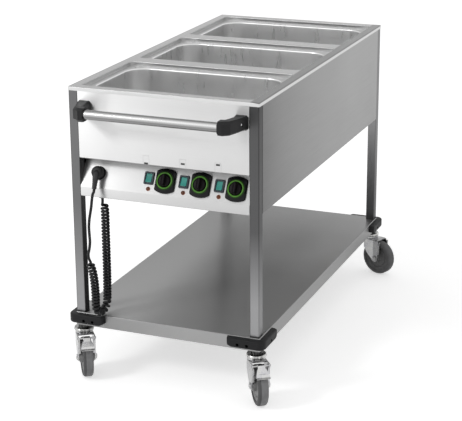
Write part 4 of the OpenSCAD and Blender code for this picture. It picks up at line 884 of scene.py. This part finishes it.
tyre_side = [
    (rim_radius, 0.0150), (0.0500, 0.0160), (0.0520, 0.0160),
    *arc((0.0535, 0.0070), 0.0090, 90, 12, 10), (0.06235, 0.0025), (0.0625, 0.0),
]
flange_outline = [(0.0, 0.0), (0.0080, 0.0), (0.0060, 0.0460), (0.0, 0.0460)]
bolt_end = [(0, -0.001), (0.0050, -0.001), (0.0056, 0.0), (0.0050, 0.0016), (0, 0.0022)]
pedal_pin, pedal_half, wing_thick = (0.058, 0.131), 0.0205, 0.0022
pin_profile = [(0, 0.0296), (0.0036, 0.0296), (0.0042, 0.0288), (0.0030, 0.0278)]
pedal_plate = bent([(0.0690, 0.1262), (0.0872, 0.1130), (0.0900, 0.1078), (0.0985, 0.1066)], 0.0022, 0.0014)
tongue = bent([(0.0545, 0.1352), (0.0640, 0.1340), (0.0730, 0.1256), (0.0850, 0.1166)], 0.0024, 0.0030)
wing = [(0.0680, 0.1262), (0.0868, 0.1130), (0.0885, 0.1090), (0.0800, 0.1160), (0.0700, 0.1215)]
ear = [*arc(pedal_pin, 0.0052, 60, 300, 12), (0.0700, 0.1215), (0.0745, 0.1240)]
hinge_tube = [(0.0031, -0.0108), (0.0048, -0.0108), (0.0048, 0.0108), (0.0031, 0.0108)]


def narrowed(surface):
    """A pedal's surface with its width scaled along x: 0.6 at the hinge, evenly to 1 at the toe."""
    points, faces = surface
    width = np.interp(points[:, 0], (0.068, 0.088), (0.6, 1.0))
    return points * np.column_stack([np.ones_like(width), width, np.ones_like(width)]), faces


for corner_name, (sx, sy, bearing) in four_corners.items():
    frame_of = castor_frame(sx, sy, bearing)
    trail_way, axle_way = np.array(frame_of["x"]), np.array(frame_of["y"])
    start, middle = np.dot(frame_of["place"], trail_way), np.dot(frame_of["place"], axle_way)
    braked = sy < 0
    crown_reach = 0.027 if braked else 0.050
    crown = [(crown_reach, -crown_half), (crown_reach, crown_half)] + crown_round
    parts = [turned(cup), *cut_sheet(crown, crown_thick, (0, 0, crown_z))]
    nose = arc(pedal_pin, 0.0062, -40, 90, 8) if braked else [(0.0520, 0.1280), (0.0500, 0.1300)]
    leg_outline = [
        *arc((wheel_trail, wheel_radius), 0.0130, 200, 340, 12), (0.0545, 0.0780), (0.0590, 0.1130),
        *nose, (-0.0040, 0.1300), *arc((-0.0040, 0.1240), 0.0060, 100, 180, 5), (-0.0090, 0.0980),
        (0.0060, 0.0770), (0.0200, 0.0640),
    ]
    for side in (-1, 1):
        parts += cut_sheet(leg_outline, leg_thick, (0, side * fork_side, 0), **upright)
        foot = (flange_x, side * flange_out, flange_foot)
        parts += cut_sheet(flange_outline, flange_thick, foot, x=(0, -side, 0), y=(0.04, 0, 1), z=(1, 0, 0))
        parts += cut_sheet(nut, nut_thick, (wheel_trail, side * nut_out, wheel_radius), **upright)
        spot = (wheel_trail, side * bolt_out, wheel_radius)
        parts.append(moved(turned(bolt_end, 24), spot, x=(1, 0, 0), y=(0, 0, side), z=(0, side, 0)))
    parts.append(about_axle(rod(0.0060, -0.0280, 0.0280, 32)))
    if braked:
        pin = turned(mirrored(pin_profile)[::-1], 24)
        parts.append(moved(pin, (pedal_pin[0], 0, pedal_pin[1]), **laid_down))
    fork_zinc = zinc("fork_zinc_" + corner_name, 0.50, 0.26)
    # Painted shade on the forks: the legs' forward part is darker, 0.6 on the rear castors and 0.8 at the
    # front pair's pedal hinge.
    fork_painted_shade = [(0.0, 1.0), (0.42, 1.0), (0.45, 0.6), (1.0, 0.6)]
    if braked:
        fork_painted_shade = [(0.0, 1.0), (0.80, 1.0), (0.86, 0.8), (1.0, 0.8)]
    banded(fork_zinc, trail_way, start - 0.013, start + 0.064, fork_painted_shade)
    finish_piece("fork_" + corner_name, "swivel_" + corner_name, all_moved(parts, **frame_of), fork_zinc,
                 ("fork_" + corner_name,), bevel=0.0006)
    disc = moved(about_axle(turned_ring(mirrored(wheel_face), 96)), **frame_of)
    tyre = moved(about_axle(turned_ring(mirrored(tyre_side), 128)), **frame_of)
    body = "roller_" + corner_name
    # Painted light on the wheels: the front wheels' hubs and tyre side walls are lit copies, 1.9 times the
    # grey where the rear ones have 1.1; across the tread the shoulders are painted in shade at 0.75 and the
    # middle carries a painted highlight at 1.4.
    wall = 1.9 if braked else 1.1
    hub_grey = moulded(
        "hub_grey_" + corner_name, [0.12 * wall] * 3, 0.42, 500.0, 0.15, Specular_IOR_Level=0.3
    )
    tyre_grey = moulded(
        "tyre_grey_" + corner_name, (0.12, 0.12, 0.122), 0.62, 700.0, 0.3, Specular_IOR_Level=0.3
    )
    banded(
        tyre_grey, axle_way, middle - 0.0165, middle + 0.0165,
        [
            (0.0, wall), (0.08, wall), (0.13, 0.75), (0.36, 0.75), (0.5, 1.4), (0.64, 0.75),
            (0.87, 0.75), (0.92, wall), (1.0, wall),
        ],
    )
    finish_piece("wheel_" + corner_name, body, [disc], hub_grey, ("wheel_" + corner_name,))
    finish_piece("tyre_" + corner_name, body, [tyre], tyre_grey, ("tyre_" + corner_name,))
    if braked:
        hand = "left" if sx < 0 else "right"
        pedal = [narrowed(s) for s in cut_sheet(pedal_plate, 2 * pedal_half, **upright)]
        pedal += cut_sheet(tongue, 0.0200, **upright)
        for edge in (-1, 1):
            wing_place = (0, edge * (pedal_half - wing_thick / 2), 0)
            pedal += [narrowed(s) for s in cut_sheet(wing, wing_thick, wing_place, **upright)]
            pedal += cut_sheet(ear, 0.0020, (0, edge * 0.0100, 0), **upright)
        pedal.append(moved(turned(hinge_tube, 28), (pedal_pin[0], 0, pedal_pin[1]), **laid_down))
        pedal_zinc = zinc("pedal_zinc_" + hand, 0.42, 0.24)
        # Painted light on the brake pedals: the tongue and the toe's lip are painted bright, the plate mid
        # grey, and the step down to the lip is painted in shade.
        banded(
            pedal_zinc, trail_way, start + 0.052, start + 0.100,
            [
                (0.0, 1.5), (0.30, 1.5), (0.36, 0.75), (0.72, 0.75), (0.74, 0.2), (0.80, 0.2),
                (0.82, 1.5), (1.0, 1.5),
            ],
        )
        finish_piece("brake_pedal_" + hand, "brake_" + hand, all_moved(pedal, **frame_of), pedal_zinc,
                     ("brake_pedal_" + hand,), bevel=0.0005)

# A moulded rubber bumper hugs each corner of the shelf. Its ends are cut nearly square and its
# outer edges are rounded, and countersunk screws hold it to the shelf's skirt.
shelf_top, shelf_half_width, shelf_half_length = 0.202, 0.3055, 0.6075
bumper_thick, bumper_high, bumper_arm, bumper_drop = 0.019, 0.029, 0.121, 0.002
bend_radius, edge_radius, end_radius, end_rise, rise_run = 0.004, 0.0045, 0.006, 0.007, 0.016
screw_black = zinc("screw_black", 0.03, 0.35)
bumper_black = moulded("bumper_black", (0.009, 0.009, 0.010), 0.55, 900.0, 0.3, Specular_IOR_Level=0.25)


def bumper_surface(sx, sy):
    """Rings round a flat L-shaped path: rounded oblongs that turn in and rise a little at the ends."""
    pivot = np.array([shelf_half_width - bend_radius, shelf_half_length - bend_radius])
    ends = np.array([0.0, 0.0006, 0.002, 0.0045, 0.008, 0.012, 0.016, 0.030])
    front_x = np.concatenate([shelf_half_width + bumper_thick - bumper_arm + ends, [pivot[0] - 0.02]])
    side_y = np.concatenate([[pivot[1] - 0.02], (shelf_half_length + bumper_thick - bumper_arm + ends)[::-1]])
    turn = np.radians(np.linspace(90, 0, 14))
    inner = np.vstack([
        np.column_stack([front_x, np.full(len(front_x), shelf_half_length)]),
        pivot + bend_radius * np.column_stack([np.cos(turn), np.sin(turn)]),
        np.column_stack([np.full(len(side_y), shelf_half_width), side_y]),
    ])
    out = np.vstack([
        np.tile([0.0, 1.0], (len(front_x), 1)),
        np.column_stack([np.cos(turn), np.sin(turn)]),
        np.tile([1.0, 0.0], (len(side_y), 1)),
    ])
    from_end = np.concatenate([[*ends, 0.08], np.full(14, 0.1), [0.08, *ends[::-1]]])
    round_end = np.clip(from_end / end_radius, 0, 1)
    thick = bumper_thick * np.sqrt(np.clip(1 - (1 - round_end) ** 2, 0.004, 1))
    rise = end_rise * (1 - np.clip(from_end / rise_run, 0, 1))
    base = shelf_top - bumper_drop - bumper_high + rise
    top = np.full(len(thick), shelf_top - bumper_drop)
    soft = np.minimum(edge_radius, 0.45 * thick)
    a = np.radians(np.linspace(0, 90, 5))
    less_sine, less_cosine = soft[:, None] * (1 - np.sin(a)), soft[:, None] * (1 - np.cos(a))
    low = np.stack([thick[:, None] - less_sine, base[:, None] + less_cosine], -1)
    high = np.stack([thick[:, None] - less_cosine, top[:, None] - less_sine], -1)
    back = np.zeros_like(thick)
    foot, head = np.stack([back, base], -1), np.stack([back, top], -1)
    section = np.concatenate([foot[:, None], low, high, head[:, None]], 1)
    flat = inner[:, None] + section[..., :1] * out[:, None]
    rings = np.concatenate([flat, section[..., 1:]], -1) * np.array([sx, sy, 1])
    return closed_tube(rings)


hole = [
    (0.0, 0.0020), (0.0054, 0.0020), (0.0054, 0.0002), (0.0046, -0.0008), (0.0046, -0.0125),
    (0.0, -0.0125),
]
outer_x, outer_y = shelf_half_width + bumper_thick, shelf_half_length + bumper_thick
screw_height, end_screws, side_screw, screw_deep = 0.1807, (0.054, 0.084), 0.070, 0.0105
bumper_screws = []
for corner_name, (sx, sy, bearing) in four_corners.items():
    spots = [((sx * (outer_x - d), sy * outer_y, screw_height), (0, sy, 0), (1, 0, 0)) for d in end_screws]
    spots.append(((sx * outer_x, sy * (outer_y - side_screw), screw_height), (sx, 0, 0), (0, 1, 0)))
    turns = [dict(place=p, x=u, y=tuple(np.cross(z, u)), z=z) for p, z, u in spots]
    name = "bumper_" + corner_name
    bumper = finish_piece(name, "frame", bumper_surface(sx, sy), bumper_black, (name,))
    drilled(bumper, [moved(turned(hole, 32), **t) for t in turns])
    for t in turns:
        t["place"] = tuple(np.array(t["place"]) - screw_deep * np.array(t["z"]))
        bumper_screws.append(moved(turned(screw_head, 28), **t))
finish_piece("bumper_screws", "frame", bumper_screws, screw_black)

# The plug is parked in a blind socket on the slope. It is a round moulded plug whose lead
# leaves at its side, through an arm and a ribbed strain relief.
socket_x, socket_up, plug_turn, arm_out = -0.219, 0.046, math.radians(4), 0.024
plug_black = moulded("plug_black", (0.045, 0.045, 0.047), 0.42, 700.0, 0.2, Specular_IOR_Level=0.25)
# Painted light on the plug: the upper side of the arm and strain relief, standing furthest out from the
# slope, keeps the full grey, while the body and the gland are painted in shade at 0.15 to 0.18.
banded(
    plug_black, slope_out, slope_level, slope_level + 0.036,
    [(0.0, 0.15), (0.68, 0.18), (0.82, 1.0), (1.0, 1.0)],
)
socket_rows = [
    (0.0, -0.024), (0.0168, -0.024), (0.0168, -0.0002), (0.0205, 0.0), (0.0215, 0.0010), (0.0213, 0.0024),
    (0.0205, 0.0030), (0.0, 0.0030),
]
socket = moved(turned(socket_rows, 72), **on_slope(socket_x, socket_up))
finish_piece("parking_socket", "frame", [socket], black_plastic, ("parking_socket",))


def plug_body():
    """Round body with a ribbed rim: the radius goes in and out with the angle along the ribs' height."""
    rows = [
        (0.0172, 0.0032, 0), (0.0186, 0.0040, 0), (0.0190, 0.0058, 1), (0.0190, 0.0090, 1),
        (0.0190, 0.0160, 1), (0.0188, 0.0182, 1), (0.0180, 0.0200, 0), (0.0168, 0.0213, 0),
        (0.0150, 0.0222, 0), (0.0128, 0.0228, 0), (0.0122, 0.0236, 0), (0.0080, 0.0243, 0),
        (0.0, 0.0246, 0),
    ]
    a = np.linspace(0, 2 * np.pi, 144, endpoint=False)
    radius = np.array([[r - ribbed * 0.0004 * (1 - math.cos(24 * t)) for t in a] for r, z, ribbed in rows])
    height = np.broadcast_to(np.array([[z] for r, z, ribbed in rows]), radius.shape)
    points = np.stack([radius * np.cos(a), radius * np.sin(a), height], -1)
    return [grid(points, round_columns=True), lid(points[0])]


def plug_arm():
    """Arm and relief along -y: ellipses whose half width and half height follow the run, ribs last."""
    table = [
        (0.010, 0.0040, 0.0020), (0.007, 0.0082, 0.0062), (0.002, 0.0100, 0.0080),
        (-0.006, 0.0100, 0.0090), (-0.014, 0.0092, 0.0092), (-0.022, 0.0086, 0.0090),
        (-0.0290, 0.0084, 0.0086), (-0.0300, 0.0080, 0.0080), (-0.0302, 0.0066, 0.0066),
    ]
    for k in range(5):
        start, wide = -0.0312 - 0.0047 * k, 0.0084 - 0.0003 * k
        for back, less in ((0, 0.0014), (0.0003, 0), (0.0025, 0), (0.0028, 0.0014)):
            table.append((start - back, wide - less, wide - less))
    table += [(-0.0538, 0.0060, 0.0060), (-0.0540, 0.0046, 0.0046)]
    a = np.linspace(0, 2 * np.pi, 40, endpoint=False)
    rings = []
    for y, wide, high in table:
        droop = max(0, y + 0.01) * 0.45
        rings.append(np.stack([wide * np.cos(a), np.full(40, y), arm_out + high * np.sin(a) - droop], -1))
    return closed_tube(np.stack(rings))


spin = dict(x=(math.cos(plug_turn), math.sin(plug_turn), 0), y=(-math.sin(plug_turn), math.cos(plug_turn), 0))
plug_parts = all_moved(all_moved([*plug_body(), *plug_arm()], **spin), **on_slope(socket_x, socket_up))
plug = finish_piece("plug", "frame", plug_parts, plug_black, ("plug",), crease=35)
gland_x, gland_y = -0.214, -0.580
gland = cut_sheet(six_sided(0.0109), 0.0075, (gland_x, gland_y, 0.5795))
collar = turned([(0.0038, 0.5755), (0.0088, 0.5755), (0.0094, 0.5762)], 36)
gland += all_moved([collar, rod(0.0078, 0.583, 0.597, 36)], (gland_x, gland_y, 0))
finish_piece("cord_gland", "frame", gland, plug_black, ("cord_gland",))

# The mains lead leaves a gland under the body, runs down in tight curls to just above the
# shelf, turns back up and goes on as a plain lead to the parked plug. It is one length of
# three-core rubber cable, wound on a mandrel and set while hot.
cord_wire, curls_wide = 0.0085, 0.027
curl_pitch, curl_sag, curl_gap, curl_ramp, curl_stretch = 0.0097, 0.10, 0.0011, 0.014, 1.6
gland_mouth, curls_top, curls_low = (gland_x, gland_y, 0.5755), 0.5715, 0.2170
curls_route = [
    (-0.2140, -0.580, 0.5715), (-0.2118, -0.580, 0.5618), (-0.2080, -0.580, 0.5472),
    (-0.2065, -0.580, 0.5293), (-0.2065, -0.580, 0.4742), (-0.2065, -0.580, 0.4093),
    (-0.2065, -0.580, 0.3444), (-0.2073, -0.580, 0.2892), (-0.2080, -0.580, 0.2665),
    (-0.2088, -0.580, 0.2470), (-0.2094, -0.584, 0.2320), (-0.2110, -0.595, 0.2210),
    (-0.2133, -0.610, 0.2170), (-0.2155, -0.625, 0.2210), (-0.2171, -0.636, 0.2320),
    (-0.2178, -0.640, 0.2470), (-0.2175, -0.640, 0.2700), (-0.2180, -0.640, 0.2915),
    (-0.2190, -0.640, 0.3130), (-0.2210, -0.640, 0.3337), (-0.2240, -0.640, 0.3528),
    (-0.2290, -0.640, 0.3705), (-0.2350, -0.640, 0.3866), (-0.2380, -0.640, 0.4004),
]
lead_route = [
    (-0.2361, -0.6412, 0.4144), (-0.2320, -0.6412, 0.4323), (-0.2297, -0.6412, 0.4522),
    (-0.2306, -0.6412, 0.4742), (-0.2313, -0.6412, 0.4981), (-0.2290, -0.6412, 0.5223),
    (-0.2248, -0.6412, 0.5441), (-0.2210, -0.6412, 0.5643), (-0.2186, -0.6406, 0.5840),
    (-0.2168, -0.6370, 0.6021),
]


def smooth_line(points, steps):
    """Catmull-Rom curve through the points: a cubic between each two, leaning along their neighbours."""
    p = np.array(points, float)
    p = np.vstack([2 * p[0] - p[1], p, 2 * p[-1] - p[-2]])
    t = (np.arange(steps) / steps)[None, :, None]
    a, b, c, d = (p[k:len(p) - 3 + k, None, :] for k in range(4))
    curve = 0.5 * (2 * b + (c - a) * t + (2 * a - 5 * b + 4 * c - d) * t**2 + (3 * b - a - 3 * c + d) * t**3)
    return np.vstack([curve.reshape(-1, 3), p[-2]])


def wound_line(route, rings_per_curl=48):
    """Helix about a smooth route: radius * (cos(turn) * side + sin(turn) * across).

    The radius eases in and out; the pitch opens with height, at both ends and inside the bend.
    """
    line = smooth_line(route, 8)
    way = along(line)
    steps = np.linalg.norm(np.diff(line, axis=0), axis=1)
    run = np.concatenate([[0], np.cumsum(steps)])
    side = untwisted_sides(way, (1, 0, 0))
    reach = (curls_wide - cord_wire) / 2
    ease = np.clip(np.minimum(run - cord_wire, run[-1] - cord_wire - run) / curl_ramp, 0, 1)
    share = ease * ease * (3 - 2 * ease)
    i = np.arange(len(line))
    low, high = np.maximum(i - 5, 0), np.minimum(i + 5, len(line) - 1)
    bend = np.linalg.norm(way[high] - way[low], axis=1) / (run[high] - run[low])
    sag = curl_sag * (line[:, 2] - curls_low) / (curls_top - curls_low)
    pitch = np.maximum(
        curl_pitch * (1 + sag + curl_stretch * (1 - share)), (cord_wire + curl_gap) / (1 - reach * bend)
    )
    wound = (run[:-1] >= cord_wire) & (run[:-1] <= run[-1] - cord_wire)
    turns = np.concatenate([[0], np.cumsum(np.where(wound, steps / pitch[:-1], 0))]) + i * 1e-6
    turn = np.linspace(0, turns[-1], int(turns[-1] * rings_per_curl))
    at = np.interp(turn, turns, run)

    def picked(values):
        """Values along the route, read off at each ring's place."""
        return np.stack([np.interp(at, run, values[:, k]) for k in range(3)], 1)

    axis, out = picked(way), picked(side)
    axis /= np.linalg.norm(axis, axis=1)[:, None]
    out -= np.sum(out * axis, 1)[:, None] * axis
    out /= np.linalg.norm(out, axis=1)[:, None]
    a = 2 * np.pi * turn[:, None]
    wide = reach * np.interp(at, run, share)[:, None]
    return picked(line) + wide * (np.cos(a) * out + np.sin(a) * np.cross(axis, out))


def eased(line, spots, reach=0.011, rounds=90):
    """Smooths a line near some spots: each round moves points part way to their neighbours' middle."""
    run = np.concatenate([[0], np.cumsum(np.linalg.norm(np.diff(line, axis=0), axis=1))])
    even = np.linspace(0, run[-1], int(run[-1] / 0.0020))
    line = np.stack([np.interp(even, run, line[:, k]) for k in range(3)], 1)
    away = np.min([np.linalg.norm(line - spot, axis=1) for spot in spots], axis=0)
    weight = 0.5 * np.exp(-((away / reach) ** 4))[1:-1, None]
    for k in range(rounds):
        line[1:-1] += weight * ((line[:-2] + line[2:]) / 2 - line[1:-1])
    return line


cord_rubber = moulded("cord_rubber", (0.008, 0.008, 0.009), 0.38, 1400.0, 0.12, Specular_IOR_Level=0.25)
relief_end = np.array([-0.21523, -0.62992, 0.61610])
relief_way = np.array([0.0698, -0.4606, -0.8849])
curls_line = wound_line(curls_route)
curls_end = np.array(curls_route[-1])
last_way = along(smooth_line(curls_route, 8))[-1]
lead_line = smooth_line(
    [curls_end, curls_end + 0.009 * last_way, *lead_route, relief_end + 0.009 * relief_way, relief_end], 6
)
cord_line = np.vstack([np.linspace(gland_mouth, curls_route[0], 6)[:-1], curls_line, lead_line])
cord_line = eased(cord_line, [np.array(curls_route[1]), np.array(curls_route[-2]), curls_end])
cord = finish_piece(
    "mains_lead", "frame", closed_tube(tube(cord_line, cord_wire / 2, 12)), cord_rubber,
    ("cord_top", "cord_curls", "cord_lead"),
)

# A plain white studio: a pale floor that runs out of sight, soft light from all round
# and one large lamp at the upper left. The camera and the metal see floor and room as white.
def seen_white(tree, lit, seen):
    """A strength with one value for light on surfaces and another for what camera, metal and glass see."""
    rays = node(tree, "LightPath")
    mirrored_too, either, strength = (node(tree, "Math") for k in range(3))
    mirrored_too.operation = either.operation = "MAXIMUM"
    strength.operation = "MULTIPLY_ADD"
    strength.inputs[1].default_value, strength.inputs[2].default_value = seen - lit, lit
    tree.links.new(rays.outputs["Is Glossy Ray"], mirrored_too.inputs[0])
    tree.links.new(rays.outputs["Is Transmission Ray"], mirrored_too.inputs[1])
    tree.links.new(rays.outputs["Is Camera Ray"], either.inputs[0])
    tree.links.new(mirrored_too.outputs[0], either.inputs[1])
    tree.links.new(either.outputs[0], strength.inputs[0])
    return strength.outputs[0]


floor_paint, tree, shader, place = finish_nodes(
    "floor_paint", (0.90, 0.90, 0.90), 0.9, Specular_IOR_Level=0.0
)
shade_between(
    tree, grain(tree, place, (3, 3, 3)), (0.89, 0.89, 0.89), (0.91, 0.91, 0.91),
    shader.inputs["Base Color"],
)
shader.inputs["Emission Color"].default_value = (1, 1, 1, 1)
tree.links.new(seen_white(tree, 0.0, 0.52), shader.inputs["Emission Strength"])
floor_mesh = bpy.data.meshes.new("floor")
floor_mesh.from_pydata([(-30, -30, 0), (30, -30, 0), (30, 30, 0), (-30, 30, 0)], [], [(0, 1, 2, 3)])
floor_mesh.materials.append(floor_paint)
floor = bpy.data.objects.new("floor", floor_mesh)
bpy.context.scene.collection.objects.link(floor)
room = bpy.data.worlds.new("room")
room.use_nodes = True
background = room.node_tree.nodes["Background"]
background.inputs["Color"].default_value = (1, 1, 1, 1)
room.node_tree.links.new(seen_white(room.node_tree, 0.6, 1.0), background.inputs["Strength"])
bpy.context.scene.world = room
lamp = bpy.data.objects.new("window_lamp", bpy.data.lights.new("window_lamp", "AREA"))
lamp.data.size, lamp.data.energy = 1.2, 75
lamp.location = (-3.1, -3.8, 3.4)
lamp.rotation_euler = (Vector((0, 0, 0.6)) - lamp.location).to_track_quat("-Z", "Y").to_euler()
bpy.context.scene.collection.objects.link(lamp)
bpy.context.scene.view_settings.view_transform = "Standard"
